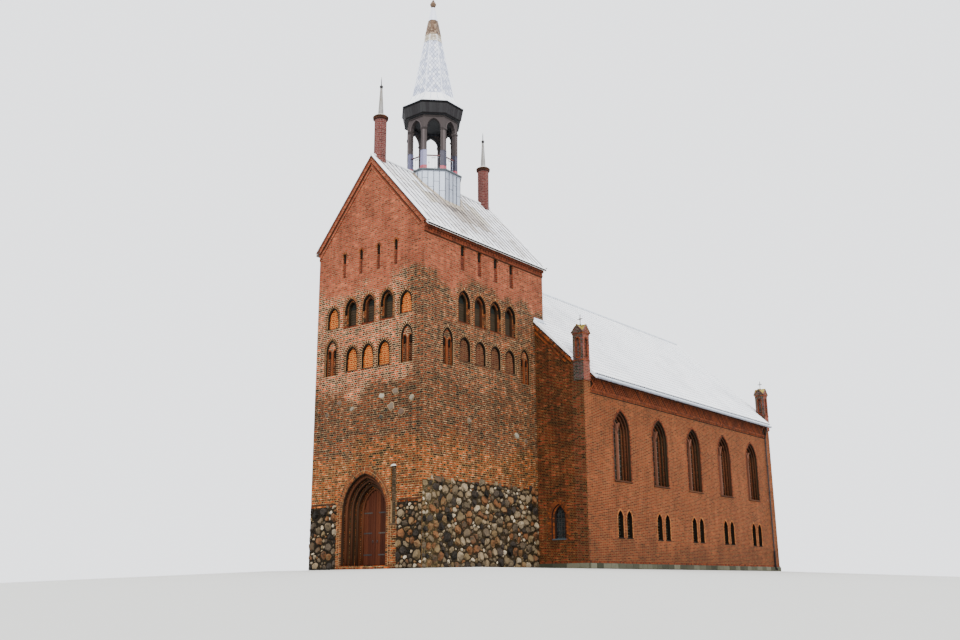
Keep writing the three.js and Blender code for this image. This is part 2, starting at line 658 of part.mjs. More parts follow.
// Floor and grey stone plinth of the nave
add(
  'nave_floor',
  box(-naveInner, naveInner, TOWER_DEPTH, NAVE_REAR - NAVE_WALL, 0, FLOOR_TOP),
  FLOOR_STONE,
);
let plinth = box(
  -NAVE_HALF - PLINTH_PROUD,
  NAVE_HALF + PLINTH_PROUD,
  NAVE_FRONT - PLINTH_PROUD,
  NAVE_REAR + PLINTH_PROUD,
  0,
  PLINTH_TOP,
);
plinth = plinth.subtract(box(-naveInner, naveInner, NAVE_FRONT + NAVE_WALL, NAVE_REAR - NAVE_WALL, -10, 400));
plinth = plinth.subtract(box(-TOWER_HALF - GAP, TOWER_HALF + GAP, 0, TOWER_DEPTH + 10, -10, 400));
add('nave_plinth', plinth, PLINTH_STONE);

// Nave roof, two sheets cut around the tower and the corner turrets
for (const side of [1, -1]) {
  const label = side > 0 ? 'right' : 'left';
  const outline = [
    [0, naveUnder(0)],
    [side * NAVE_ROOF_HALF, naveUnder(NAVE_ROOF_HALF)],
    [side * NAVE_ROOF_HALF, naveUnder(NAVE_ROOF_HALF) + NAVE_ROOF_RISE],
    [0, NAVE_RIDGE],
  ];
  let sheet = prismXZ(outline, NAVE_FRONT - NAVE_VERGE, NAVE_REAR + NAVE_VERGE);
  sheet = sheet.subtract(
    box(-TOWER_HALF - GAP, TOWER_HALF + GAP, 0, TOWER_DEPTH + GAP, 5000, 20000),
  );
  for (const y of turretFronts) {
    const outY = y < TOWER_MID + TOWER_DEPTH ? [y - 500, y + TURRET + GAP] : [y - GAP, y + TURRET + 500];
    const x0 = NAVE_HALF + TURRET_PROUD - TURRET - GAP;
    const xs = side > 0 ? [x0, x0 + 2000] : [-x0 - 2000, -x0];
    sheet = sheet.subtract(box(...xs, ...outY, 5000, 20000));
  }
  add(`nave_${label}_roof`, sheet, RIBBED_SHEET, 0.5, 0.5);
}

// Corner turrets: square brick shafts with a niche on each face and a gable over each face
const turretNames = [
  ['front_right_turret', 1, turretFronts[0]],
  ['front_left_turret', -1, turretFronts[0]],
  ['rear_right_turret', 1, turretFronts[1]],
  ['rear_left_turret', -1, turretFronts[1]],
];
for (const [name, side, y0] of turretNames) {
  const x = side * (NAVE_HALF + TURRET_PROUD - TURRET / 2);
  const y = y0 + TURRET / 2;
  const h = TURRET / 2;
  let shaft = box(x - h, x + h, y - h, y + h, TURRET_BASE, TURRET_EAVE);
  const slit = (m) => pointed(m, 95, 60, 10150, 11000, 3);
  for (const face of [-1, 1]) {
    const ys = face < 0 ? [y - h - 10, y - h + 110] : [y + h - 110, y + h + 10];
    const xs = face < 0 ? [x - h - 10, x - h + 110] : [x + h - 110, x + h + 10];
    shaft = shaft.subtract(prismXZ(slit(x), ...ys));
    shaft = shaft.subtract(prismYZ(slit(y), ...xs));
  }
  const gable = (m) => [[m - h - 30, TURRET_EAVE - 20], [m + h + 30, TURRET_EAVE - 20], [m, TURRET_APEX]];
  shaft = shaft.add(prismXZ(gable(x), y - h - 30, y + h + 30));
  shaft = shaft.add(prismYZ(gable(y), x - h - 30, x + h + 30));
  shaft = shaft.add(box(x - 14, x + 14, y - 14, y + 14, TURRET_APEX - 60, TURRET_APEX + 560));
  shaft = shaft.add(box(x - 130, x + 130, y - 12, y + 12, TURRET_APEX + 380, TURRET_APEX + 410));
  add(name, shaft, NAVE_BRICK);
}

export default group;
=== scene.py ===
"""Brick church: a saddle-roofed tower with an open lantern and spire, and a wide nave with tall windows.

Lengths are in metres. Places along the building are counted from the tower's front face, as in the part's
source, and at() shifts them to the plan's middle.
"""

import logging
import math
import random
from collections.abc import Callable
from dataclasses import dataclass
from enum import Enum

import bmesh
import bpy
from mathutils import Matrix, Vector


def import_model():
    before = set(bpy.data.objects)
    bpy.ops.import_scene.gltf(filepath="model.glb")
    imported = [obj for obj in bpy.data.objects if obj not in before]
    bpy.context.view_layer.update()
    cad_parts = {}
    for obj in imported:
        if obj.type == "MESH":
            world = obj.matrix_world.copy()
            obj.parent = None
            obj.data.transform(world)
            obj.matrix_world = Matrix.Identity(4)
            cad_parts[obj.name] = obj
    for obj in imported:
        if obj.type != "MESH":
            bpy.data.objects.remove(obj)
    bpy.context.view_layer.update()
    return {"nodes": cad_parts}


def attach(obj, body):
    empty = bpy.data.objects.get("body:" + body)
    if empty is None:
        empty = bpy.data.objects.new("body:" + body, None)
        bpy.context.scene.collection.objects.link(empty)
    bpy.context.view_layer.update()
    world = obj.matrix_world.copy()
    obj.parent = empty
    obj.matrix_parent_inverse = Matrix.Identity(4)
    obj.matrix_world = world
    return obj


LOG = logging.getLogger("church")
SEED = 1276
# How far the plan's middle lies behind the tower's front face
PLAN_MID = 15.56
# The tower: half width, depth, height and fall of its roof's ridge, and height of a brick course
TOWER_HALF = 3.5
TOWER_DEPTH = 9.34
TOWER_RIDGE = 19.8
TOWER_FALL = 1.1493
TOWER_COURSE = 0.0995
# The nave: half width, front and rear face, fall of its roof, and height of a brick course
NAVE_HALF = 6.38
NAVE_FRONT = 8.55
NAVE_REAR = 31.08
NAVE_FALL = 0.9727
NAVE_COURSE = 0.079
# Lantern and spire: how far their axis lies behind the front, and half the angle of one of their eight sides
SPIRE_MIDDLE = 4.45
HALF_SIDE = math.pi / 8
# Joint between two bricks where nothing else is said
JOINT = 0.012
# Places of four like openings in a row, in steps from the row's middle
FOUR = (-1.5, -0.5, 0.5, 1.5)
X, Y, Z = Vector((1, 0, 0)), Vector((0, 1, 0)), Vector((0, 0, 1))
Outline = list[tuple[float, float]]
Span = tuple[float, float]
Corner = tuple[float, float, float]
Tone = float | Callable[[int, int], float] | None


def at(x: float, y: float, z: float) -> Vector:
    """Gives the place of a point counted from the tower's front face.

    Args:
        x: metres to the right of the middle.
        y: metres behind the tower's front face.
        z: metres above the ground.

    Returns:
        The point in the frame.
    """
    return Vector((x, y - PLAN_MID, z))


def turns(count: int, step: float, start: float = 0.0) -> Outline:
    """Gives the cosines and sines of angles that go up in even steps.

    Args:
        count: how many angles.
        step: from one angle to the next, in radians.
        start: the first angle.

    Returns:
        A cosine and a sine for each angle.
    """
    return [(math.cos(start + k * step), math.sin(start + k * step)) for k in range(count)]


def mirrored(sign: int, near: float, far: float) -> Span:
    """Gives the span from near to far on the side that sign tells, its lower end first."""
    return (near, far) if sign > 0 else (-far, -near)


def linear(code: str) -> tuple[float, float, float, float]:
    """Turns an sRGB hex colour into linear values.

    Args:
        code: a colour such as "#a1b2c3".

    Returns:
        Linear red, green and blue, with alpha 1.
    """
    parts = [int(code[i : i + 2], 16) / 255 for i in (1, 3, 5)]
    curved = [p / 12.92 if p <= 0.04045 else ((p + 0.055) / 1.055) ** 2.4 for p in parts]
    return (curved[0], curved[1], curved[2], 1.0)


class Graph:
    """One material: its nodes and its shader."""

    def __init__(self, name: str) -> None:
        """Starts a material with a shader and its output.

        Args:
            name: the material's name.
        """
        self.material = bpy.data.materials.new(name)
        self.material.use_nodes = True
        self.tree = self.material.node_tree
        self.tree.nodes.clear()
        self.shader = self.tree.nodes.new("ShaderNodeBsdfPrincipled")
        output = self.tree.nodes.new("ShaderNodeOutputMaterial")
        self.tree.links.new(self.shader.outputs[0], output.inputs["Surface"])

    def add(
        self, kind: str, inputs: dict | tuple = (), take: int | str = 0, stops: tuple[str, ...] = (),
        **settings: str,
    ) -> bpy.types.NodeSocket:
        """Adds a node with its settings and links.

        Args:
            kind: Blender's name of the node type, without its prefix.
            inputs: socket name or number to a value, or to the output that feeds it; a tuple goes by number.
            take: name or number of the output that is wanted.
            stops: for a colour ramp, its hex colours at even places.
            **settings: properties of the node.

        Returns:
            The wanted output.
        """
        made = self.tree.nodes.new("ShaderNode" + kind)
        for key, value in settings.items():
            setattr(made, key, value)
        for key, value in (inputs if isinstance(inputs, dict) else dict(enumerate(inputs))).items():
            if isinstance(value, bpy.types.NodeSocket):
                self.tree.links.new(value, made.inputs[key])
            else:
                made.inputs[key].default_value = value
        if stops:
            elements = made.color_ramp.elements
            while len(elements) < len(stops):
                elements.new(1.0)
            for i, code in enumerate(stops):
                elements[i].position = i / max(1, len(stops) - 1)
                elements[i].color = linear(code)
        return made.outputs[take]

    def feed(self, **sockets: bpy.types.NodeSocket | float) -> None:
        """Feeds the shader's inputs.

        Args:
            **sockets: name of the input, with an underscore for a space, to its value or what feeds it.
        """
        for name, value in sockets.items():
            target = self.shader.inputs[name.replace("_", " ")]
            if isinstance(value, bpy.types.NodeSocket):
                self.tree.links.new(value, target)
            else:
                target.default_value = value


@dataclass(frozen=True)
class BrickZone:
    """A height range of a brick wall: its start, colours, its joints' colour and how dark headers get."""

    start: float
    codes: tuple[str, ...]
    mortar: str
    burnt: float = 0.0


@dataclass(frozen=True)
class BrickFinish:
    """Fired clay brick laid in lime mortar, in a bond that alternates stretchers and headers."""

    name: str
    course_mm: float
    stretcher_mm: float
    joint_mm: float
    zones: tuple[BrickZone, ...]
    ragged_mm: float = 3.0
    weathering: float = 0.25
    shaded: tuple[str, ...] = ()
    shaded_mortar: str = "#6a5238"
    flecks: float = 0.2
    pointing: str = "#a07a4c"
    warm_side: bool = False

    def build(self, solid: bool) -> bpy.types.Material:
        """Makes the brick material.

        Args:
            solid: whether it goes on a solid that has no tones of its own; it makes no difference here.

        Returns:
            The material, with a colour of its own for each brick and with set-back joints.
        """
        g = Graph(self.name)
        course, period, joint = self.course_mm / 1000, 1.5 * self.stretcher_mm / 1000, self.joint_mm / 1000
        place = g.add("TexCoord", take="Object")
        facing = g.add("NewGeometry", take="True Normal")
        height = g.add("SeparateXYZ", (place,), take=2)
        # Distance along the wall, whichever way the wall faces, made a little ragged
        level = g.add("VectorMath", (tuple(Z), facing), operation="CROSS_PRODUCT")
        level = g.add("VectorMath", (level,), operation="NORMALIZE")
        along = g.add("VectorMath", (level, place), take="Value", operation="DOT_PRODUCT")
        flat = g.add("CombineXYZ", (along, height))
        wobble = g.add("TexNoise", {"Vector": place, "Scale": 5.0, "Detail": 3.0}, take="Color")
        slack = self.ragged_mm / 250
        ragged = g.add("VectorMath", (wobble, (slack,) * 3, (-slack / 2,) * 3), operation="MULTIPLY_ADD")
        flat = g.add("VectorMath", (flat, ragged), operation="ADD")
        cells = g.add("VectorMath", (flat, (period, course, 1)), operation="DIVIDE")
        rows = g.add("SeparateXYZ", (cells,), take=1)
        row = g.add("Math", (rows,), operation="FLOOR")
        shift = g.add("Math", (row, 2.0), operation="FLOORED_MODULO")
        across = g.add("Math", (shift, 0.5, g.add("SeparateXYZ", (cells,))), operation="MULTIPLY_ADD")
        part = g.add("Math", (across,), operation="FRACT")
        header = g.add("Math", (part, 2 / 3), operation="GREATER_THAN")
        whole = g.add("Math", (across,), operation="FLOOR")
        column = g.add("Math", (whole, 2.0, header), operation="MULTIPLY_ADD")
        # Distance to the nearest joint, and from it the face of the brick
        bed = g.add("Math", (g.add("Math", (rows, 0.5), operation="PINGPONG"), course), operation="MULTIPLY")
        first = g.add("Math", (across, 0.5), operation="PINGPONG")
        second = g.add("Math", (g.add("Math", (across, 1 / 3), operation="ADD"), 0.5), operation="PINGPONG")
        near = g.add("Math", (first, second), operation="MINIMUM")
        perpend = g.add("Math", (near, period), operation="MULTIPLY")
        grit = g.add("TexNoise", {"Vector": place, "Scale": 55.0, "Detail": 2.0})
        uneven = g.add("Math", (grit, 0.012, -0.006), operation="MULTIPLY_ADD")
        edge = g.add("Math", (g.add("Math", (bed, perpend), operation="MINIMUM"), uneven), operation="ADD")
        body = g.add("MapRange", {"Value": edge, "From Min": joint * 0.35, "From Max": joint * 0.7})
        # A colour of its own for each brick, by zones up the wall, in patches where one batch was laid
        brick = g.add("CombineXYZ", (column, row))
        chance = g.add("TexWhiteNoise", {"Vector": brick}, noise_dimensions="2D")
        drift = g.add("TexNoise", {"Vector": place, "Scale": 0.55, "Detail": 5.0, "Roughness": 0.6})
        spread = g.add("Math", (chance, 0.9, -0.2), operation="MULTIPLY_ADD")
        pick = g.add("Math", (drift, 0.5, spread), operation="MULTIPLY_ADD")
        if self.warm_side:
            # The tower's right side and the front corner next to it were rebuilt in warmer brick
            away = g.add("Math", (g.add("SeparateXYZ", (place,)), -1.0, 3.5), operation="MULTIPLY_ADD")
            away = g.add("Math", (drift, 1.2, away), operation="MULTIPLY_ADD")
            cold = g.add("MapRange", {"Value": away, "From Min": 1.15, "From Max": 1.75, "To Min": 0.15})
        # The height that picks the zone, shifted up and down so that zones meet in a ragged line
        lifted = g.add("Math", (height, -2.2), operation="ADD")
        lifted = g.add("Math", (drift, 4.4, lifted), operation="MULTIPLY_ADD")
        bricks = g.add("ValToRGB", (pick,), stops=self.zones[0].codes)
        mortar = linear(self.zones[0].mortar)
        burning = self.zones[0].burnt
        for i, zone in enumerate(self.zones[1:]):
            tint = g.add("ValToRGB", (pick,), stops=zone.codes)
            share = g.add("MapRange", {
                "Value": lifted, "From Min": zone.start - 0.25, "From Max": zone.start + 0.25})
            if self.warm_side and i == 1:
                share = g.add("Math", (share, cold), operation="MULTIPLY")
            burning = g.add("Mix", {0: share, 2: burning, 3: zone.burnt})
            bricks = g.add("Mix", {0: share, 6: bricks, 7: tint}, take=2, data_type="RGBA")
            mortar = g.add("Mix", {0: share, 6: mortar, 7: linear(zone.mortar)}, take=2, data_type="RGBA")
        # Faces that look to the front take darker colours here: damp brick with painted shade
        if self.shaded:
            front = g.add("SeparateXYZ", (facing,), take=1)
            share = g.add("MapRange", {"Value": front, "From Min": -0.8, "From Max": -0.9})
            tint = g.add("ValToRGB", (pick,), stops=self.shaded)
            bricks = g.add("Mix", {0: share, 6: bricks, 7: tint}, take=2, data_type="RGBA")
            damp = linear(self.shaded_mortar)
            mortar = g.add("Mix", {0: share, 6: mortar, 7: damp}, take=2, data_type="RGBA")
        # Headers are burnt darker, some of them nearly black
        burnt = g.add("MapRange", {"Value": chance, "From Min": 0.3, "From Max": 0.6})
        burnt = g.add("Math", (burnt, burning), operation="MULTIPLY")
        burnt = g.add("Math", (burnt, header), operation="MULTIPLY")
        burnt = g.add("Math", (burnt, -1.0, 1.0), operation="MULTIPLY_ADD")
        # Single bricks and small groups of them that stand out darker or lighter
        group = g.add("TexNoise", {"Vector": place, "Scale": 4.5, "Detail": 4.0, "Roughness": 0.75})
        swing = g.add("MapRange", {
            "Value": group, "From Min": 0.41, "From Max": 0.58, "To Min": 1.0 - self.flecks,
            "To Max": 1.0 + self.flecks * 0.6})
        swing = g.add("Mix", {0: burning, 2: 1.0, 3: swing})
        burnt = g.add("Math", (burnt, swing), operation="MULTIPLY")
        # Joints filled afresh here and there with paler mortar
        fresh = g.add("MapRange", {"Value": group, "From Min": 0.53, "From Max": 0.62})
        beds = g.add("Math", (bed, perpend), operation="LESS_THAN")
        beds = g.add("Math", (beds, burning), operation="MULTIPLY")
        fresh = g.add("Math", (fresh, beds), operation="MULTIPLY")
        mortar = g.add("Mix", {0: fresh, 6: mortar, 7: linear(self.pointing)}, take=2, data_type="RGBA")
        bricks = g.add("Mix", {0: 1.0, 6: bricks, 7: burnt}, take=2, data_type="RGBA", blend_type="MULTIPLY")
        face = g.add("Mix", {0: body, 6: mortar, 7: bricks}, take=2, data_type="RGBA")
        # Weathering: broad streaks that run down the wall, and every underside darkened as painted shade
        stretch = g.add("Mapping", {"Vector": place, "Scale": (1.6, 1.6, 0.3)})
        streak = g.add("TexNoise", {"Vector": stretch, "Scale": 1.1, "Detail": 5.0})
        dirt_and_shade = g.add("Math", (streak, drift), operation="MULTIPLY")
        dirt_and_shade = g.add("MapRange", {
            "Value": dirt_and_shade, "From Min": 0.17, "From Max": 0.36, "To Min": 1.0 - self.weathering,
            "To Max": 1.0 + self.weathering * 0.4})
        under = g.add("SeparateXYZ", (facing,), take=2)
        under = g.add("MapRange", {"Value": under, "From Min": -0.5, "From Max": -0.05, "To Min": 0.3})
        dirt_and_shade = g.add("Math", (dirt_and_shade, under), operation="MULTIPLY")
        worn_and_shaded = g.add("Mix", {0: 1.0, 6: face, 7: dirt_and_shade}, take=2, data_type="RGBA", blend_type="MULTIPLY")
        rough = g.add("MapRange", {"Value": grit, "To Min": 0.8, "To Max": 0.97})
        fine = g.add("Math", (chance, 0.35, body), operation="MULTIPLY_ADD")
        fine = g.add("Math", (grit, 0.5, fine), operation="MULTIPLY_ADD")
        bump = g.add("Bump", {"Height": fine, "Strength": 0.8, "Distance": 0.01})
        g.feed(Base_Color=worn_and_shaded, Roughness=rough, Normal=bump, Specular_IOR_Level=0.12)
        return g.material


@dataclass(frozen=True)
class TonedFinish:
    """A surface whose pieces each have a colour from a range, with fine grain, relief and stains."""

    name: str
    codes: tuple[str, ...]
    roughness: float
    metallic: float = 0.0
    grain_mm: float = 30.0
    relief_mm: float = 2.0
    stretch: tuple[float, float, float] = (1.0, 1.0, 1.0)
    mottle: float = 0.25
    stain: str = ""
    stain_share: float = 0.0
    stain_mm: float = 1500.0
    underside: float = 0.45

    def build(self, solid: bool) -> bpy.types.Material:
        """Makes the material.

        Args:
            solid: whether it goes on a solid that has no tones of its own, which then gets the middle one.

        Returns:
            The material, coloured by each piece's tone, broken up by grain and stains, darker underneath as
            painted shade.
        """
        g = Graph(self.name + ("_on_solid" if solid else ""))
        place = g.add("TexCoord", take="Object")
        stretched = g.add("Mapping", {"Vector": place, "Scale": self.stretch})
        grain = g.add("TexNoise", {
            "Vector": stretched, "Scale": 1000 / self.grain_mm, "Detail": 4.0, "Roughness": 0.6})
        cloud = g.add("TexNoise", {
            "Vector": place, "Scale": 1000 / self.stain_mm, "Detail": 6.0, "Roughness": 0.65})
        both = g.add("Math", (grain, cloud), operation="ADD")
        level = 0.5 if solid else g.add("Attribute", take="Fac", attribute_name="tone")
        swing = g.add("Math", (both, self.mottle * 1.6, -self.mottle * 1.6), operation="MULTIPLY_ADD")
        color = g.add("ValToRGB", (g.add("Math", (swing, level), operation="ADD"),), stops=self.codes)
        if self.stain:
            share = g.add("MapRange", {
                "Value": cloud, "From Min": 0.48, "From Max": 0.68, "To Max": self.stain_share})
            color = g.add("Mix", {0: share, 6: color, 7: linear(self.stain)}, take=2, data_type="RGBA")
        # Undersides are darkened as painted shade
        facing = g.add("SeparateXYZ", (g.add("NewGeometry", take="True Normal"),), take=2)
        under = g.add("MapRange", {
            "Value": facing, "From Min": -0.6, "From Max": -0.1, "To Min": self.underside})
        color = g.add("Mix", {0: 1.0, 6: color, 7: under}, take=2, data_type="RGBA", blend_type="MULTIPLY")
        low, high = self.roughness - 0.1, min(1.0, self.roughness + 0.1)
        rough = g.add("MapRange", {
            "Value": grain, "From Min": 0.3, "From Max": 0.7, "To Min": low, "To Max": high})
        bump = g.add("Bump", {"Height": grain, "Strength": 0.5, "Distance": self.relief_mm / 1000})
        # Dry, porous surfaces hardly shine at all
        shine = 0.5 if self.roughness < 0.8 else 0.12
        g.feed(Base_Color=color, Roughness=rough, Normal=bump)
        g.feed(Metallic=self.metallic, Specular_IOR_Level=shine)
        return g.material


@dataclass(frozen=True)
class LeadedGlass:
    """Old cylinder glass in small leaded panes: dark and glossy, each pane of its own shade."""

    name: str
    codes: tuple[str, ...]
    pane_mm: float = 120.0

    def build(self, solid: bool) -> bpy.types.Material:
        """Makes the glass; solid makes no difference here.

        Args:
            solid: whether it goes on a solid that has no tones of its own.

        Returns:
            The material, with panes that differ in shade and a wavy gloss.
        """
        g = Graph(self.name)
        place = g.add("TexCoord", take="Object")
        cells = g.add("VectorMath", {0: place, 3: 1000 / self.pane_mm}, operation="SCALE")
        cells = g.add("VectorMath", (cells,), operation="FLOOR")
        chance = g.add("TexWhiteNoise", {"Vector": cells}, noise_dimensions="3D")
        color = g.add("ValToRGB", (chance,), stops=self.codes)
        wave = g.add("TexNoise", {"Vector": place, "Scale": 9.0, "Detail": 1.0})
        bump = g.add("Bump", {"Height": wave, "Strength": 0.35, "Distance": 0.01})
        g.feed(Base_Color=color, Roughness=0.16, IOR=1.5, Normal=bump)
        return g.material


Finish = BrickFinish | TonedFinish | LeadedGlass

# Hand-made brick of the old tower: uneven, orange below, grey and pale-jointed above, newer at the top;
# its joints are drawn twice as wide as the real 15 mm, because finer ones wouldn't show in the render
OLD_BRICK = BrickFinish("hand_made_brick_in_lime", 99.5, 292, 30, (
    BrickZone(0.0, (
        "#120703", "#8b3710", "#200f08", "#a64916", "#150b03", "#974012", "#401e11", "#b35f2c",
    ), "#6f5836", 0.6),
    BrickZone(5.4, (
        "#140803", "#68270a", "#1d0d06", "#7c310c", "#0f0503", "#732c0c", "#30170f", "#85451e",
    ), "#5c4f38", 0.5),
    BrickZone(8.1, (
        "#0c0404", "#a23a18", "#170908", "#b74a21", "#0b0404", "#953416", "#2e140f", "#bd6640",
    ), "#988061", 0.85),
    BrickZone(13.1, ("#6e2914", "#93402a", "#7a2f1b", "#a55033", "#652412", "#8a391f"), "#76563f", 0.15),
), ragged_mm=6.0, weathering=0.25, flecks=1.0, pointing="#dcb888", warm_side=True)
# Machine-pressed brick of the nave: even red-orange, slim joints, darker where it faces the front with damp
# and painted shade; its 10 mm joints are drawn twice as wide, because finer ones wouldn't show in the render
PRESSED_BRICK = BrickFinish("pressed_red_brick", 79.0, 262, 22, (
    BrickZone(0.0, ("#3c150c", "#602512", "#451a0e", "#6c2f18", "#35130a", "#5a2211"), "#6a4c2d", 0.2),
    BrickZone(1.3, ("#461a0d", "#702b15", "#511f0f", "#7e371b", "#3e170c", "#6a2814"), "#785533", 0.2),
), ragged_mm=1.5, weathering=0.2, flecks=0.6,
    shaded=("#1d0905", "#5e2111", "#2e0e05", "#722d20", "#190805", "#581f11"), shaded_mortar="#564629")
# The same brick on the front beside the tower: damp and sooty, and darker all over as painted shade
SHADED_FRONT_BRICK = BrickFinish("shaded_front_red_brick", 79.0, 262, 22, (
    BrickZone(0.0, ("#1d0804", "#5e200d", "#2e0d04", "#722a1b", "#190704", "#581e0d"), "#564222", 0.5),
), ragged_mm=1.5, weathering=0.3, flecks=0.6)
# Smooth red brick of the corner turrets: the nave's brick, greyer with soot from the wind; painted shade
# darkens its front
TURRET_BRICK = BrickFinish("sooty_turret_brick", 79.0, 262, 22, (
    BrickZone(0.0, ("#491d19", "#742f25", "#54221b", "#833b2d", "#401a17", "#6e2c22"), "#7c5b4b", 0.2),
), ragged_mm=1.5, weathering=0.3, flecks=0.5,
    shaded=("#1c1013", "#5c2f2a", "#2d1713", "#703f46", "#180f13", "#562d2a"), shaded_mortar="#545b4e")
# Orange brick that fills the blind niches, fresher because it stands back from the rain
NICHE_BRICK = BrickFinish("orange_niche_brick", 99.5, 292, 26, (
    BrickZone(0.0, ("#6b2207", "#99380d", "#802b07", "#a94813", "#5e1f07"), "#be8141", 0.35),
), ragged_mm=6.0, weathering=0.2, flecks=0.7)
# The old wall's brick where it stands back under the eaves' arches: pinkish and duller
SHADED_BRICK = BrickFinish("shaded_niche_brick", 99.5, 292, 17, (
    BrickZone(0.0, ("#371609", "#502616", "#431c0e", "#5a331d", "#2f1209"), "#68543c"),
    BrickZone(12.9, ("#3f160e", "#552317", "#632c1f", "#481a12"), "#6b4a37"),
), ragged_mm=5.0, weathering=0.25)
# Round pinnacles of rosy brick, evenly burnt
PINNACLE_BRICK = BrickFinish("rosy_round_brick", 99.5, 250, 16, (
    BrickZone(0.0, ("#451e19", "#61332e", "#54221e", "#6b3f38", "#3c1916"), "#7f645e"),
), ragged_mm=3.0, weathering=0.15)
# Granite and sandstone boulders, split and weathered: matt, speckled, each of its own colour
FIELD_STONE = TonedFinish("split_field_stone", (
    "#100f0c", "#37302a", "#5a4d3d", "#6b5a3f", "#6b4428", "#453d31", "#7d6b52", "#8b7c66", "#b5a68e"), 0.9,
    grain_mm=70, relief_mm=16, mottle=0.16, stain="#181713", stain_share=0.5, stain_mm=300)
# Boulders bedded flush in the brickwork: from a dark hole's shade over mauve and grey to nearly white
STRAY_STONE = TonedFinish("bedded_boulder", (
    "#22211c", "#403c37", "#59463a", "#6c6254", "#847d6e", "#a59e8d"), 0.9,
    grain_mm=35, relief_mm=6, mottle=0.1, stain="#4a4535", stain_share=0.3, stain_mm=300)
# Lime mortar with coarse sand: pale and sandy, with nearly black patches that paint the shade of deep gaps
LIME_MORTAR = TonedFinish("lime_mortar", ("#070503", "#171108", "#3a2e1a", "#8f7b55"), 0.9,
    grain_mm=60, relief_mm=10, mottle=0.7, stain="#060503", stain_share=1.0, stain_mm=260)
# Pale mortar pointed round the tower's arches
PALE_MORTAR = TonedFinish("pale_pointing", ("#836746", "#9b7b56", "#ac8d69"), 0.9,
    grain_mm=30, relief_mm=3, mottle=0.5, stain="#745f46", stain_share=0.5, stain_mm=300)
# Granite plinth blocks: grey, rough-dressed, green near the ground
PLINTH_STONE = TonedFinish("dressed_granite", ("#2b2c22", "#3c3b2f", "#4d4c3e", "#5f5d4e"), 0.85,
    grain_mm=25, relief_mm=3, mottle=0.3, stain="#333623", stain_share=0.6, stain_mm=400)
# Cement-rendered sills: brown-grey that dulls with soot
SILL_CEMENT = TonedFinish("cement_sill", ("#3e2311", "#4d2d17", "#5b371e"), 0.8,
    grain_mm=40, relief_mm=1, mottle=0.3, stain="#2b1508", stain_share=0.5, stain_mm=400)
# Whitewashed mortar on caps and lintels: nearly white, worn through in places
WHITEWASH = TonedFinish("whitewashed_mortar", ("#8f897e", "#b0aba2", "#c3c0b9"), 0.85,
    grain_mm=60, relief_mm=2, mottle=0.4, stain="#797265", stain_share=0.4, stain_mm=300)
# Rolled zinc in seamed sheets: blue-grey, half dull, clouded by weather
ZINC = TonedFinish("weathered_zinc_sheet", ("#474a54", "#868c9a", "#a5adbc", "#bcc6d6", "#cfdaea"), 0.5,
    grain_mm=180, relief_mm=1.5, mottle=0.2, underside=0.7)
# Old galvanised sheet of the tower roof: bright silver with grey-brown and yellowish stains; its near-white
# tones paint the sky's reflection
STAINED_SHEET = TonedFinish("stained_galvanised_sheet", (
    "#3a3431", "#6e6257", "#988c80", "#c0b9b4", "#e9eaef", "#f7f8fb", "#fdfdff"), 0.6,
    grain_mm=260, relief_mm=2, stretch=(0.4, 3.0, 0.4), mottle=0.34, stain="#8d7c66", stain_share=0.65,
    stain_mm=900, underside=0.3)
# Folded seams of the tower roof, dark with the dirt that lodges along them
SEAM = TonedFinish("folded_sheet_seam", ("#191921", "#272732", "#363844"), 0.7,
    grain_mm=200, relief_mm=1, mottle=0.4)
# Sheet of the pinnacles' spirelets: grey with a brown-green foot of moss
SPIRELET_SHEET = TonedFinish("mossy_zinc_spirelet", ("#5c5448", "#7f7c78", "#9a9a9c", "#b0b1b5"), 0.5,
    metallic=0.2, grain_mm=120, relief_mm=1, mottle=0.4, stain="#5d5238", stain_share=0.6, stain_mm=700)
# Pressed galvanised tile sheet of the nave roof: pale, cool and evenly bright, with its darkest tone
# painting the shade in its grooves
RIBBED_SHEET = TonedFinish("pressed_galvanised_sheet", (
    "#565e6b", "#b4bcc8", "#e8edf4", "#f6f8fc", "#fcfdff"), 0.6,
    grain_mm=500, relief_mm=1, mottle=0.14, stain="#aab0b8", stain_share=0.35, stain_mm=2500,
    underside=0.3)
# Zinc shingles of the spire: lavender-grey diamonds that catch the sky one by one
SHINGLE = TonedFinish("zinc_diamond_shingle", ("#a5acc4", "#c2c9df", "#dbe0f0", "#eef1fa"), 0.5,
    grain_mm=300, relief_mm=1, mottle=0.15)
# Boarding that shows dark in the joints between the shingles
UNDERLAY = TonedFinish("dark_roof_boarding", ("#4d5060", "#5d6070"), 0.8, grain_mm=80, relief_mm=1)
# Gilded copper, dulled: brown gold with a soft shine
GILT = TonedFinish("dull_gilded_copper", ("#412e22", "#644d39", "#7d6450", "#947f6a"), 0.4, metallic=0.5,
    grain_mm=120, relief_mm=1, mottle=0.4)
# Pale painted sheet over the spire's gilding, cream with a grey cast
CREAM_SHEET = TonedFinish("cream_painted_sheet", ("#928577", "#afa28d", "#c3baa8", "#cec9c0"), 0.5,
    metallic=0.2, grain_mm=90, relief_mm=1, mottle=0.3)
# Sawn timber under old grey-brown paint: dry, grained lengthwise
TIMBER = TonedFinish("painted_weathered_timber", ("#2c2928", "#3a3534", "#463f3f", "#574f4f"), 0.8,
    grain_mm=60, relief_mm=3, stretch=(6.0, 6.0, 0.5), mottle=0.4)
# Sheet wraps of the lantern's posts: from violet-grey to nearly white, each side's tone painting how much
# light it gets
WRAP_SHEET = TonedFinish("painted_post_sheet", ("#1d1c2d", "#2c2b3e", "#4a4961", "#60607c", "#757491"), 0.45,
    metallic=0.2, grain_mm=90, relief_mm=1, mottle=0.2)
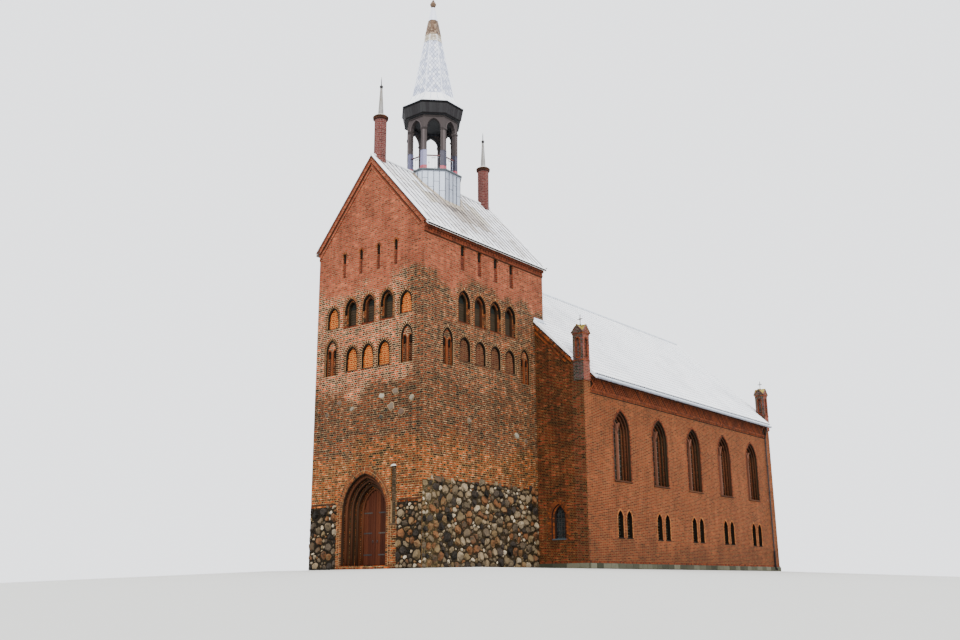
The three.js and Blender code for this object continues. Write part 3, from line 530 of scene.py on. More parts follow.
# Slate-coloured paint on nosings and front sills: dark teal grey
SLATE_PAINT = TonedFinish("slate_grey_paint", ("#2a343a", "#39454c", "#48565f"), 0.5,
    grain_mm=60, relief_mm=1, mottle=0.4)
# Boards of the lantern's ceiling: nearly black with a blue cast, painting the shade inside the lantern
BLUE_BOARD = TonedFinish("blue_black_board", ("#0e1016", "#161921", "#20222b"), 0.75,
    grain_mm=80, relief_mm=2, stretch=(4.0, 1.0, 4.0), mottle=0.4)
# Dark red paint on rails and turret verges
DARK_RED_PAINT = TonedFinish("dark_red_paint", ("#321616", "#471f20", "#5c2b2a"), 0.5,
    grain_mm=50, relief_mm=1, mottle=0.3)
# Stained boards of the lantern's cornice: dark red-violet brown with nearly black edges; also the dark
# strips that paint shadow lines under eaves and verges
TARRED_AND_SHADE_BOARD = TonedFinish("tarred_board_and_shade", ("#100e0f", "#1c1a1b", "#282628", "#333334"), 0.85,
    grain_mm=80, relief_mm=3, stretch=(1.0, 1.0, 4.0), mottle=0.3)
# Boards of the sound openings: slate-grey to brown, dry
LOUVRE_BOARD = TonedFinish("louvre_board", ("#1a1d1a", "#1e1f1a", "#28221a", "#32291c", "#352a20"), 0.85,
    grain_mm=60, relief_mm=2, stretch=(1.0, 1.0, 5.0), mottle=0.4)
# Oak planks of the portal doors: stained dark red-brown
OAK = TonedFinish("stained_oak_plank", ("#2b1208", "#3d1c0e", "#4c2614"), 0.8,
    grain_mm=40, relief_mm=2, stretch=(8.0, 8.0, 0.6), mottle=0.4)
# Sheet caps at the posts' feet and the rails: sun-bleached red paint with a shine
RED_PAINT = TonedFinish("bleached_red_paint", ("#522224", "#822934", "#a2384c", "#b14c60"), 0.4,
    grain_mm=50, relief_mm=1, mottle=0.3)
# Wrought iron of the crosses and bars: near black, slightly rusty
IRON = TonedFinish("wrought_iron", ("#232223", "#312e2d", "#40382f"), 0.6, metallic=0.4,
    grain_mm=30, relief_mm=1, mottle=0.4)
# Roof tile grown over with lichen: yellow-green on brown
LICHEN_TILE = TonedFinish("lichened_tile", ("#65562f", "#9a853d", "#b29d50", "#9a9354"), 0.9,
    grain_mm=50, relief_mm=6, mottle=0.4)
# Moulded bricks round the nave's openings: a shade lighter and pinker than the wall
MOULDED_BRICK = TonedFinish("moulded_brick", ("#3b2114", "#582a17", "#67311a", "#733a1f"), 0.88,
    grain_mm=25, relief_mm=2, mottle=0.14, stain="#392617", stain_share=0.4, stain_mm=600)
# Reveals of the windows: the same moulded brick, dark with damp and painted shade
REVEAL_BRICK = TonedFinish("dark_reveal_brick", ("#241e12", "#301f13", "#3d2213", "#492716"), 0.88,
    grain_mm=25, relief_mm=2, mottle=0.2, stain="#2b2013", stain_share=0.4, stain_mm=600)
# Surrounds of the front windows: moulded brick as dark as the wall round it, which is damp and darkened by
# painted shade
OLD_MOULDED = TonedFinish("damp_and_shaded_moulded_brick", ("#3a2314", "#562c15", "#6e3618", "#7c401b"), 0.88,
    grain_mm=25, relief_mm=2, mottle=0.14, stain="#382617", stain_share=0.4, stain_mm=600)
# Reveals of the front windows: nearly black maroon, painted shade
BLACK_REVEAL = TonedFinish("black_shaded_reveal", ("#18110d", "#221611", "#2a1a16"), 0.85,
    grain_mm=25, relief_mm=2, mottle=0.2)
# Light surrounds of the lancets: pale orange brick, limewashed once
PALE_BRICK = TonedFinish("pale_orange_brick", ("#6e3e1f", "#844d28", "#8f5831", "#986239"), 0.88,
    grain_mm=25, relief_mm=2, mottle=0.1, stain="#6e4125", stain_share=0.35, stain_mm=500)
# Bricks on edge round the tower's arches: orange and tan to nearly burnt
BURNT_BRICK = TonedFinish("old_moulded_brick", (
    "#272115", "#5c2c16", "#6d3518", "#3b2818", "#7e4822", "#4e2c18", "#62331a"), 0.9,
    grain_mm=25, relief_mm=3, mottle=0.1, stain="#3b2f1d", stain_share=0.4, stain_mm=800)
# Brick of the ledges under the blind arches and in the slit by the portal: brown-olive with damp
OLIVE_BRICK = TonedFinish("damp_olive_brick", ("#322a1f", "#403324", "#4a3b2b", "#574331"), 0.9,
    grain_mm=25, relief_mm=3, mottle=0.2, stain="#2f2e20", stain_share=0.5, stain_mm=500)
# Voussoirs of the blind arches: burnt hard, nearly black between their wide pale joints
HARD_BURNT_BRICK = TonedFinish("hard_burnt_brick", (
    "#1d130c", "#29180d", "#40200d", "#502912", "#21150d"), 0.85, grain_mm=25, relief_mm=3, mottle=0.1)
# Arch reveals in the deep shade of the recess: brick painted nearly black as shade
SHADOW_BRICK = TonedFinish("painted_shadow_brick", ("#0f0b05", "#140e07", "#1a120a"), 0.9,
    grain_mm=25, relief_mm=2, mottle=0.2)
# Newer bricks of the gable courses and the eaves: pinkish red
NEW_BRICK = TonedFinish("new_cornice_brick", ("#482416", "#5d2c1a", "#6a321d", "#552818"), 0.88,
    grain_mm=25, relief_mm=2, mottle=0.12, stain="#472c1e", stain_share=0.4, stain_mm=900)
# Square and round bricks of the portal's steps: dark red and dull
PORTAL_BRICK = TonedFinish("dark_red_round_brick", ("#2a2014", "#3c2415", "#4c2916", "#60331c"), 0.8,
    grain_mm=30, relief_mm=2, mottle=0.15)
# Glazing bars and lead: dull dark grey
LEAD = TonedFinish("lead_and_iron_bars", ("#1e1914", "#29221c", "#372e25"), 0.65,
    grain_mm=30, relief_mm=1, mottle=0.3)
# Window mullions: pink-grey rendered brick
MULLION = TonedFinish("rendered_mullion", ("#5b3b2d", "#734a39", "#845747"), 0.85,
    grain_mm=40, relief_mm=2, mottle=0.3, stain="#473122", stain_share=0.4, stain_mm=400)
# Old window glass in lead: brown-black by day
GLASS = LeadedGlass("leaded_window_glass", ("#151409", "#242014", "#29271e", "#1d1910", "#37352c"))
# The front windows' glass, which mirrors more of the sky: slate-blue
SKY_GLASS = LeadedGlass("slate_blue_glass", ("#171a1c", "#212526", "#272c2d", "#1c1f1f"))
# Plain pale studio floor
STUDIO_FLOOR = TonedFinish("pale_studio_floor", ("#c9c9c5", "#cecec9", "#d3d3ce"), 0.85,
    grain_mm=900, relief_mm=0.5, mottle=0.2)


class Stock:
    """Builds each finish once, and gives it to solids and pieces."""

    def __init__(self, nodes: dict[str, bpy.types.Object]) -> None:
        """Keeps the carried-over solids by name.

        Args:
            nodes: the solids.
        """
        self.nodes = nodes
        self.made: dict[tuple[str, bool], bpy.types.Material] = {}

    def of(self, finish: Finish, solid: bool = False) -> bpy.types.Material:
        """Gives the material of a finish, made on its first use.

        Args:
            finish: the finish.
            solid: whether it goes on a carried-over solid, which has no tones of its own.

        Returns:
            The material.
        """
        key = (finish.name, solid and isinstance(finish, TonedFinish))
        if key not in self.made:
            self.made[key] = finish.build(solid)
        return self.made[key]

    def dress(self, finish: Finish, *names: str) -> None:
        """Gives a finish to carried-over solids.

        Args:
            finish: the finish.
            *names: names of the solids.
        """
        for name in names:
            for slot in self.nodes[name].material_slots:
                slot.material = self.of(finish, solid=True)


@dataclass(frozen=True)
class Plane:
    """A flat face of the building: a starting point, and the ways across it, up it and out of it."""

    origin: Vector
    across: Vector
    up: Vector
    outward: Vector

    def at(self, a: float, b: float, c: float = 0.0) -> Vector:
        """Gives the place that lies a across, b up and c out from the face."""
        return self.origin + self.across * a + self.up * b + self.outward * c


def upright(origin: Vector, outward: Vector) -> Plane:
    """Gives the upright face through a point that looks the way of outward."""
    return Plane(origin, Vector((-outward.y, outward.x, 0)), Z, outward)


class Side(Enum):
    """The four ways that walls face."""

    FRONT = "front"
    RIGHT = "right"
    LEFT = "left"
    REAR = "rear"

    def plane(self, distance: float) -> Plane:
        """Gives the plane of a wall.

        Args:
            distance: metres from the axis for a right or left wall, from the tower's front face otherwise.

        Returns:
            The plane; its across value is x for front and rear, and y from the tower's front for the sides.
        """
        if self is Side.FRONT:
            return Plane(at(0, distance, 0), X, Z, -Y)
        if self is Side.REAR:
            return Plane(at(0, distance, 0), X, Z, Y)
        if self is Side.RIGHT:
            return Plane(at(distance, 0, 0), Y, Z, X)
        return Plane(at(-distance, 0, 0), Y, Z, -X)

    def rake(self, distance: float, peak: float, fall: float, sign: int) -> Plane:
        """Gives the plane of one half of a front or rear gable, laid along its raking edge.

        Args:
            distance: metres from the tower's front face.
            peak: height of the gable's peak.
            fall: how far the edge falls in a metre.
            sign: 1 for the right half, -1 for the left one.

        Returns:
            The plane; its across value runs down the edge from the peak, and its up value is square to that.
        """
        lean = math.atan(fall)
        across = Vector((sign * math.cos(lean), 0, -math.sin(lean)))
        up = Vector((sign * math.sin(lean), 0, math.cos(lean)))
        return Plane(at(0, distance, peak), across, up, self.plane(0).outward)


SIDES = {1: Side.RIGHT, -1: Side.LEFT}


class Shell:
    """Collects the corners and faces of one joined piece, each solid with a tone from 0 to 1."""

    def __init__(self, seed: int = SEED) -> None:
        """Starts an empty piece with its own seeded chance.

        Args:
            seed: the seed.
        """
        self.points: list[Vector] = []
        self.faces: list[tuple[int, ...]] = []
        self.tones: list[float] = []
        self.chance = random.Random(seed)

    def loft(self, rings: list[list[Vector]], tone: Tone = None, looped: bool = False) -> None:
        """Joins outlines of equal length, one after the other, into a closed solid.

        Args:
            rings: the outlines, first to last.
            tone: the solid's tone, or a function that gives it from the numbers of the outline and of the
                side, or None for one by chance. The closing faces count as sides of an outline numbered -1.
            looped: whether the last outline joins the first, instead of both being closed by a face.
        """
        shade = self.chance.random() if tone is None else tone
        give = shade if callable(shade) else lambda ring, side: shade
        base = len(self.points)
        count = len(rings[0])
        for ring in rings:
            self.points.extend(ring)
        if not looped:
            self.faces.append(tuple(base + i for i in reversed(range(count))))
            self.faces.append(tuple(base + (len(rings) - 1) * count + i for i in range(count)))
            self.tones.extend([give(-1, 0), give(-1, 1)])
        for r in range(len(rings) if looped else len(rings) - 1):
            low, high = base + r * count, base + (r + 1) % len(rings) * count
            for i in range(count):
                j = (i + 1) % count
                self.faces.append((low + i, low + j, high + j, high + i))
                self.tones.append(give(r, i))

    def slab(self, plane: Plane, outline: Outline, depth: Span, tone: Tone = None) -> None:
        """Adds a flat piece of a given outline on a face.

        Args:
            plane: the face.
            outline: its corners, across and up the face.
            depth: how far out from the face it starts and ends.
            tone: as in loft.
        """
        self.loft([[plane.at(a, b, c) for a, b in outline] for c in depth], tone)

    def block(self, plane: Plane, a: Span, b: Span, c: Span, tone: Tone = None, bevel: float = 0.0) -> None:
        """Adds a block on a face.

        Args:
            plane: the face.
            a: where the block starts and ends across the face.
            b: where it starts and ends up the face.
            c: how far out from the face it starts and ends.
            tone: as in loft.
            bevel: size of the chamfer of its outer edges, 0 for none.
        """
        corners = ((a[0], b[0], 1, 1), (a[1], b[0], -1, 1), (a[1], b[1], -1, -1), (a[0], b[1], 1, -1))
        rings = [[plane.at(x, y, c[0]) for x, y, _, _ in corners]]
        if bevel:
            rings.append([plane.at(x, y, c[1] - bevel) for x, y, _, _ in corners])
        rings.append([plane.at(x + i * bevel, y + j * bevel, c[1]) for x, y, i, j in corners])
        self.loft(rings, tone)

    def run(
        self, plane: Plane, a: Span, b: Span, c: Span, brick: float, gap: float = JOINT, bevel: float = 0.0,
    ) -> None:
        """Adds a row of bricks side by side.

        Args:
            plane: the face that they lie on.
            a: where the row starts and ends across the face.
            b: where it starts and ends up the face.
            c: how far out from the face it starts and ends.
            brick: length of a brick along the row, fitted to a whole number of them.
            gap: joint between two bricks.
            bevel: as in block.
        """
        count = max(1, round((a[1] - a[0]) / (brick + gap)))
        pitch = (a[1] - a[0]) / count
        for i in range(count):
            low = a[0] + i * pitch + gap / 2
            self.block(plane, (low, low + pitch - gap), b, c, bevel=bevel)

    def bar(
        self, start: Vector, end: Vector, width: float, height: float, up: Vector, tone: Tone = None,
    ) -> None:
        """Adds a straight bar of rectangular section.

        Args:
            start: middle of its first end.
            end: middle of its second end.
            width: its size square to up.
            height: its size along up.
            up: the way that its height is measured.
            tone: as in loft.
        """
        way = (end - start).normalized()
        side = way.cross(up).normalized() * (width / 2)
        lift = side.cross(way).normalized() * (height / 2)
        corners = (-side - lift, side - lift, side + lift, -side + lift)
        self.loft([[start + c for c in corners], [end + c for c in corners]], tone)

    def sweep(
        self, path: list[Vector], radius: float, sides: int = 8, tone: Tone = None, closed: bool = False,
    ) -> None:
        """Adds a round rod along a path.

        Args:
            path: the points of its middle line.
            radius: the rod's radius.
            sides: number of its sides.
            tone: as in loft.
            closed: whether the path's last point joins its first.
        """
        rings: list[list[Vector]] = []
        count = len(path)
        side = Vector((0, 0, 0))
        for i, point in enumerate(path):
            before = path[i - 1] if closed or i else path[i]
            after = path[(i + 1) % count] if closed or i < count - 1 else path[i]
            way = (after - before).normalized()
            side = side - way * side.dot(way) if rings else way.orthogonal()
            side.normalize()
            lift = way.cross(side)
            rings.append([point + (side * u + lift * v) * radius for u, v in turns(sides, math.tau / sides)])
        self.loft(rings, tone, looped=closed)

    def turned(
        self, profile: Outline, x: float, y: float, sides: int, turn: float = 0.0, tone: Tone = None,
    ) -> None:
        """Adds a turned solid about an upright axis.

        Args:
            profile: its radii and heights, from the bottom up.
            x: place of the axis across.
            y: place of the axis behind the tower's front face.
            sides: number of its sides.
            turn: angle of its first corner.
            tone: as in loft.
        """
        ways = turns(sides, math.tau / sides, turn)
        self.loft([[at(x + r * u, y + r * v, z) for u, v in ways] for r, z in profile], tone)

    def sloped(self, plane: Plane, a: Span, profile: Outline, tone: Tone = None) -> None:
        """Adds a solid of one section along a face; the profile gives how far up and how far out."""
        self.loft([[plane.at(x, b, c) for b, c in profile] for x in a], tone)

    def piece(self, name: str, material: bpy.types.Material, slot: str, smooth: bool = False) -> None:
        """Makes the Blender object, sets its tones and material, and rides it on the building.

        Args:
            name: the piece's name.
            material: its material.
            slot: the record's material slot; not used.
            smooth: whether its faces are shaded round.
        """
        mesh = bpy.data.meshes.new(name)
        mesh.from_pydata([tuple(p) for p in self.points], [], self.faces)
        tones = mesh.attributes.new("tone", "FLOAT", "FACE")
        tones.data.foreach_set("value", self.tones)
        work = bmesh.new()
        work.from_mesh(mesh)
        bmesh.ops.recalc_face_normals(work, faces=work.faces)
        for face in work.faces:
            face.smooth = smooth
        work.to_mesh(mesh)
        work.free()
        mesh.materials.append(material)
        made = bpy.data.objects.new(name, mesh)
        bpy.context.scene.collection.objects.link(made)
        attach(made, "root")
        LOG.info("%s: %d faces", name, len(mesh.polygons))


@dataclass(frozen=True)
class Arch:
    """A pointed arch: middle, half width, offset of the arc centres, and heights of sill and springing."""

    middle: float
    half: float
    centre: float
    sill: float
    spring: float

    def grown(self, by: float) -> "Arch":
        """Gives the same arch set off outward, or inward where by is negative."""
        return Arch(self.middle, self.half + by, self.centre, self.sill - by, self.spring)

    @property
    def radius(self) -> float:
        """The radius of the arcs."""
        return self.half + self.centre

    @property
    def end(self) -> float:
        """The angle of the arc at the apex."""
        return math.acos(self.centre / self.radius)

    @property
    def apex(self) -> float:
        """The height of the apex."""
        return self.spring + self.radius * math.sin(self.end)

    def width_at(self, height: float) -> float:
        """Gives the half width at a height.

        Args:
            height: the height.

        Returns:
            The half width.
        """
        if height <= self.spring:
            return self.half
        return math.sqrt(max(0.0, self.radius**2 - (height - self.spring) ** 2)) - self.centre

    def top_at(self, reach: float) -> float:
        """Gives the height of the arch at a distance from its middle."""
        return self.spring + math.sqrt(max(0.0, self.radius**2 - (abs(reach) + self.centre) ** 2))

    def curve(self, steps: int = 10) -> Outline:
        """Gives the arch line from the right springing over the apex to the left one.

        Args:
            steps: steps of each arc.

        Returns:
            The points of the line.
        """
        start = self.middle - self.centre
        right = [(start + self.radius * u, self.spring + self.radius * v)
                 for u, v in turns(steps + 1, self.end / steps)]
        return right + [(2 * self.middle - a, b) for a, b in reversed(right[:-1])]

    def outline(self, steps: int = 10) -> Outline:
        """Gives the whole opening, from its sill up round the arch."""
        left, right = self.middle - self.half, self.middle + self.half
        return [(left, self.sill), (right, self.sill)] + self.curve(steps)


class ArchTrim:
    """Brickwork and bars that belong to pointed openings, added to a shell."""

    def __init__(self, shell: Shell, plane: Plane) -> None:
        """Keeps the shell to add to and the wall face."""
        self.shell = shell
        self.plane = plane

    def ring(self, arch: Arch, width: float, depth: Span, brick: float = 0.1, gap: float = JOINT) -> None:
        """Adds a ring of wedge-shaped bricks over the arch.

        Args:
            arch: the inner line of the ring.
            width: the ring's width.
            depth: how far out from the face it starts and ends.
            brick: length of a brick along the inner line.
            gap: joint between bricks.
        """
        count = max(3, round(arch.radius * arch.end / brick))
        outer = arch.radius + width
        slack = gap / (2 * arch.radius)
        for sign in (1, -1):
            for i in range(count):
                t0 = arch.end * i / count + slack
                t1 = arch.end * (i + 1) / count - slack
                corners = [
                    (arch.middle + sign * (r * math.cos(t) - arch.centre), arch.spring + r * math.sin(t))
                    for r, t in ((arch.radius, t0), (outer, t0), (outer, t1), (arch.radius, t1))
                ]
                self.shell.slab(self.plane, corners, depth)
        reach = outer * math.cos(arch.end) - arch.centre - gap
        side = arch.spring + outer * math.sin(arch.end)
        if reach > 0.01:
            corners = [(arch.middle, arch.apex + gap), (arch.middle + reach, side),
                       (arch.middle, arch.grown(width).apex), (arch.middle - reach, side)]
            self.shell.slab(self.plane, corners, depth)

    def strip(self, arch: Arch, width: float, depth: Span, tone: Tone = None, steps: int = 8) -> None:
        """Adds one unbroken strip up both jambs and over the arch, outside the arch's line.

        Args:
            arch: the inner line of the strip.
            width: the strip's width.
            depth: how far out from the face it starts and ends.
            tone: as in Shell.loft.
            steps: steps of each arc.
        """
        lines = []
        for line in (arch, arch.grown(width)):
            side = [(line.middle + line.half, arch.sill)] + line.curve(steps)
            lines.append(side + [(line.middle - line.half, arch.sill)])
        back, front = depth
        rings = []
        for inner, outer in zip(*lines):
            corners = ((inner, back), (outer, back), (outer, front), (inner, front))
            rings.append([self.plane.at(*spot, out) for spot, out in corners])
        self.shell.loft(rings, tone)

    def jambs(self, arch: Arch, width: float, depth: Span, course: float, gap: float = JOINT) -> None:
        """Adds a strip of bricks up both sides of the opening, toothed every other course.

        Args:
            arch: the opening.
            width: length of the longer bricks, away from the opening.
            depth: how far out from the face they start and end.
            course: height of a brick with its joint, fitted to a whole number of them.
            gap: joint between two bricks.
        """
        rows = max(1, round((arch.spring - arch.sill) / course))
        step = (arch.spring - arch.sill) / rows
        for sign in (1, -1):
            for i in range(rows):
                reach = width * (1.0 if i % 2 else 0.86)
                near, far = mirrored(sign, arch.half, arch.half + reach)
                low = arch.sill + i * step + gap / 2
                ends = (arch.middle + near, arch.middle + far)
                self.shell.block(self.plane, ends, (low, low + step - gap), depth)

    def sill(self, arch: Arch, count: int, section: Outline) -> None:
        """Adds a sloping sill of bricks on edge, a little wider than the opening.

        Args:
            arch: the opening.
            count: number of bricks.
            section: its corners, as height over the opening's sill and distance out from the face.
        """
        pitch = (2 * arch.half + 0.06) / count
        for i in range(count):
            a = arch.middle - arch.half - 0.03 + i * pitch
            brick = [(arch.sill + b, c) for b, c in section]
            self.shell.sloped(self.plane, (a + 0.006, a + pitch - 0.006), brick)

    def roll(self, arch: Arch, radius: float, out: float, steps: int = 8, sides: int = 8) -> None:
        """Adds a round moulding up both jambs and over the arch.

        Args:
            arch: the moulding's middle line.
            radius: its radius.
            out: how far out from the face it lies.
            steps: steps of each arc.
            sides: number of its sides.
        """
        left, right = (arch.middle - arch.half, arch.sill), (arch.middle + arch.half, arch.sill)
        line = [right] + arch.curve(steps) + [left]
        self.shell.sweep([self.plane.at(a, b, out) for a, b in line], radius, sides)

    def plate(self, arch: Arch, depth: Span) -> None:
        """Adds a flat plate of the opening's shape."""
        self.shell.slab(self.plane, arch.outline(), depth)


@dataclass
class TowerWalls:
    """The tower's brick walls: niches, sound openings, slits, bands and the brickwork around them."""

    stock: Stock
    half: float = TOWER_HALF
    depth: float = TOWER_DEPTH
    middle: float = TOWER_DEPTH / 2
    niche_depth: float = 0.11
    course: float = TOWER_COURSE
    pair_reach: float = 0.18
    gable_peak: float = 19.6

    def build(self) -> None:
        """Builds the brickwork of all walls, one kind after the other."""
        self.dress_walls()
        self.build_arch_rings()
        self.build_niche_fill()
        self.build_ledges()
        self.build_louvres()
        self.build_bands()

    def blind(self, front: bool) -> list[Arch]:
        """The blind arches of a front or side wall."""
        return self.front_arcade + self.front_blind if front else self.side_arcade

    @property
    def front_arcade(self) -> list[Arch]:
        """The three blind arches over the portal."""
        return [Arch(x, 0.385, 0.1, 9.06, 9.775) for x in (-1.05, 0.0, 1.05)]

    @property
    def side_arcade(self) -> list[Arch]:
        """The four blind arches of a side wall."""
        return [Arch(self.middle + k * 1.172, 0.4, 0.06, 9.34, 10.07) for k in FOUR]

    @property
    def front_blind(self) -> list[Arch]:
        """The blind arches beside the front's sound openings."""
        return [Arch(x, 0.38, 0.12, 11.3, 11.9) for x in (-2.4, 2.4)]

    def pairs(self, front: bool) -> list[Arch]:
        """The shallow arches that each hold two narrow lancet niches."""
        middles = (-2.45, 2.48) if front else (self.middle - 2.55 * 1.172, self.middle + 2.55 * 1.172)
        return [Arch(m, 0.37, 0.2, 8.97, 10.24) for m in middles]

    def sounds(self, front: bool) -> tuple[list[Arch], list[Arch]]:
        """The sound openings of a wall.

        Args:
            front: whether it is the front wall.

        Returns:
            The outer and the inner arches.
        """
        if front:
            spots, halves, rest = (-1.19, 0.0, 1.19), (0.4, 0.27), (0.16, 11.23, 12.1)
        else:
            spots, halves, rest = [self.middle + k * 1.205 for k in FOUR], (0.45, 0.3), (0.18, 11.2, 12.2)
        outer, inner = ([Arch(spot, half, *rest) for spot in spots] for half in halves)
        return outer, inner

    def slits(self, front: bool) -> list[Arch]:
        """The tall slits under the gable or the eaves.

        Args:
            front: whether it is the front wall.

        Returns:
            The slits' arches.
        """
        if front:
            return [Arch(x, 0.11, 0.06, 13.75, 14.85) for x in (-1.72, -0.58, 0.58, 1.72)]
        return [Arch(self.middle + k * 1.285, 0.145, 0.06, 13.75, 14.85) for k in FOUR]

    def walls(self) -> list[tuple[str, Plane, bool]]:
        """The three walls that carry arches.

        Returns:
            A label, the plane, and whether it is the front, for each wall.
        """
        return [
            ("front", Side.FRONT.plane(0.0), True),
            ("right", Side.RIGHT.plane(self.half), False),
            ("left", Side.LEFT.plane(self.half), False),
        ]

    def dress_walls(self) -> None:
        """Gives the carried-over walls, boards and floors their finishes."""
        self.stock.dress(
            OLD_BRICK, "tower_front_lower_wall", "tower_front_upper_wall", "tower_right_wall",
            "tower_left_wall", "tower_rear_wall")
        self.stock.dress(LOUVRE_BOARD, "tower_front_louvres", "tower_right_louvres", "tower_left_louvres")
        self.stock.dress(LIME_MORTAR, "tower_right_stone_base", "tower_left_stone_base")
        self.stock.dress(PLINTH_STONE, "tower_floor", "nave_floor")

    def build_arch_rings(self) -> None:
        """Builds the bricks on edge round niches and sound openings, with pale pointing, and dark reveals
        and strips that paint their shade.
        """
        for label, plane, front in self.walls():
            bricks, joints, dark, soot, burnt = (Shell(SEED + i) for i in (len(label), 1, 2, 6, 16))
            ring, pale, deep, black, hard = (ArchTrim(s, plane) for s in (bricks, joints, dark, soot, burnt))
            outer, inner = self.sounds(front)
            for arch, back in [(a, 0.1) for a in self.blind(front)] + [(a, 0.06) for a in self.pairs(front)]:
                pale.strip(arch.grown(-0.004), 0.115, (-0.03, 0.003))
                hard.ring(arch.grown(0.002), 0.105, (-0.03, 0.012), brick=0.105, gap=0.032)
                hard.jambs(arch.grown(0.002), 0.12, (-0.03, 0.009), self.course, gap=0.03)
                # Dark strips round the reveal and under the arch's head paint the shade of the recess
                black.strip(arch.grown(-0.04), 0.038, (-back, -0.012))
                head = Arch(arch.middle, arch.half - 0.085, arch.centre, arch.spring - 0.12, arch.spring)
                black.strip(head, 0.06, (-back, -0.02))
            for arch, throat in zip(outer, inner):
                pale.strip(arch, 0.11, (-0.03, 0.004))
                ring.ring(arch.grown(0.002), 0.115, (-0.03, 0.014), brick=0.1, gap=0.028)
                ring.jambs(arch.grown(0.002), 0.12, (-0.03, 0.011), self.course, gap=0.024)
                ring.ring(throat.grown(-0.004), 0.13, (-0.2, -0.108), brick=0.1)
                ring.jambs(throat.grown(-0.004), 0.13, (-0.2, -0.112), self.course)
                # A dark strip under the head and one deep in the throat paint the shade of the opening
                head = Arch(arch.middle, arch.half - 0.07, arch.centre, arch.spring - 0.2, arch.spring)
                black.strip(head, 0.066, (-0.11, -0.02))
                deep.strip(throat.grown(-0.03), 0.028, (-0.28, -0.125))
            for arch in self.slits(front):
                ring.ring(arch.grown(-0.004), 0.09, (-0.05, 0.01), brick=0.08)
                # A dark plate at the slit's top paints the shade of its deep slot
                top = Arch(arch.middle, arch.half - 0.016, arch.centre, 14.56, arch.spring)
                black.plate(top, (-0.13, -0.06))
            for arch in self.pairs(front):
                for reach in (-self.pair_reach, self.pair_reach):
                    small = Arch(arch.middle + reach, 0.125, 0.08, 8.97, 10.08)
                    # A dark plate at each lancet's top paints the shade under its arch
                    black.plate(Arch(small.middle, 0.115, 0.08, 9.94, 10.08), (-0.2, -0.12))
                    ring.strip(small.grown(-0.004), 0.05, (-0.12, -0.062), tone=0.36)
            bricks.piece(f"tower_{label}_arch_rings", self.stock.of(BURNT_BRICK), "old_brick")
            joints.piece(f"tower_{label}_arch_pointing", self.stock.of(PALE_MORTAR), "old_brick")
            dark.piece(f"tower_{label}_arch_reveals", self.stock.of(REVEAL_BRICK), "old_brick")
            soot.piece(f"tower_{label}_shadow_reveals", self.stock.of(SHADOW_BRICK), "old_brick")
            burnt.piece(f"tower_{label}_burnt_rings", self.stock.of(HARD_BURNT_BRICK), "old_brick")

    def build_niche_fill(self) -> None:
        """Builds the brick faces at the back of the blind arches and the slits."""
        back = (-self.niche_depth - 0.02, -self.niche_depth + 0.006)
        for label, plane, front in self.walls():
            fresh, plain = Shell(), Shell()
            for arch in self.blind(front):
                ArchTrim(fresh if front else plain, plane).plate(arch.grown(0.01), back)
            trim = ArchTrim(plain, plane)
            for arch in self.pairs(front):
                for reach in (-self.pair_reach, self.pair_reach):
                    trim.plate(Arch(arch.middle + reach, 0.135, 0.08, 8.96, 10.08), (-0.27, -0.19))
            for arch in self.slits(front):
                low = Arch(arch.middle, arch.half + 0.01, 0.06, arch.sill - 0.01, 14.3)
                trim.plate(low, (-0.14, -0.1 if front else -0.08))
            if front:
                fresh.piece("tower_front_niche_faces", self.stock.of(NICHE_BRICK), "old_brick")
            plain.piece(f"tower_{label}_shaded_faces", self.stock.of(SHADED_BRICK), "old_brick")

    def build_ledges(self) -> None:
        """Builds the thin sloping ledges under arches and the sills of the sound openings."""
        ledge = [(0.05, -0.12), (0.005, 0.024), (-0.035, 0.02), (-0.035, -0.12)]
        sill = [(0.06, -0.31), (0.005, 0.03), (-0.04, 0.022), (-0.04, -0.31)]
        for label, plane, front in self.walls():
            ledges, sills = Shell(SEED + 3), Shell(SEED + 4)
            for arch in self.blind(front):
                ArchTrim(ledges, plane).sill(arch, 7, ledge)
            for arch in self.sounds(front)[0]:
                ArchTrim(sills, plane).sill(arch, 8, sill)
            ledges.piece(f"tower_{label}_ledges", self.stock.of(OLIVE_BRICK), "old_brick")
            sills.piece(f"tower_{label}_sound_sills", self.stock.of(NEW_BRICK), "old_brick")

    def build_louvres(self) -> None:
        """Builds the overlapping boards that close the sound openings, slate-dark above and brown below."""
        for label, plane, front in self.walls():
            shell = Shell(SEED + 5)
            for arch in self.sounds(front)[1]:
                split = arch.sill + 0.62 * (arch.apex - arch.sill)
                height = arch.sill + 0.02
                while height < arch.apex - 0.12:
                    half = arch.width_at(height + 0.13) - 0.004
                    top = height + 0.14
                    board = [(top, -0.292), (top, -0.272), (height, -0.25), (height, -0.27)]
                    tone = shell.chance.uniform(*((0.0, 0.2) if height > split else (0.6, 1.0)))
                    shell.sloped(plane, (arch.middle - half, arch.middle + half), board, tone)
                    height += 0.125
            shell.piece(f"tower_{label}_louvre_boards", self.stock.of(LOUVRE_BOARD), "dark_timber")

    def build_bands(self) -> None:
        """Builds the toothed bricks of the eaves, the raking courses of both gables and their dark lines."""
        bricks, lines = Shell(SEED + 7), Shell(SEED + 8)
        whole = (0.0, self.depth)
        for side in (Side.RIGHT, Side.LEFT):
            plane = side.plane(self.half)
            bricks.run(plane, (0.02, self.depth - 0.02), (15.115, 15.215), (-0.02, 0.06), 0.16, gap=0.05)
            bricks.run(plane, whole, (15.012, 15.108), (0.02, 0.056), 0.26)
            bricks.run(plane, whole, (15.225, 15.4), (0.04, 0.118), 0.12)
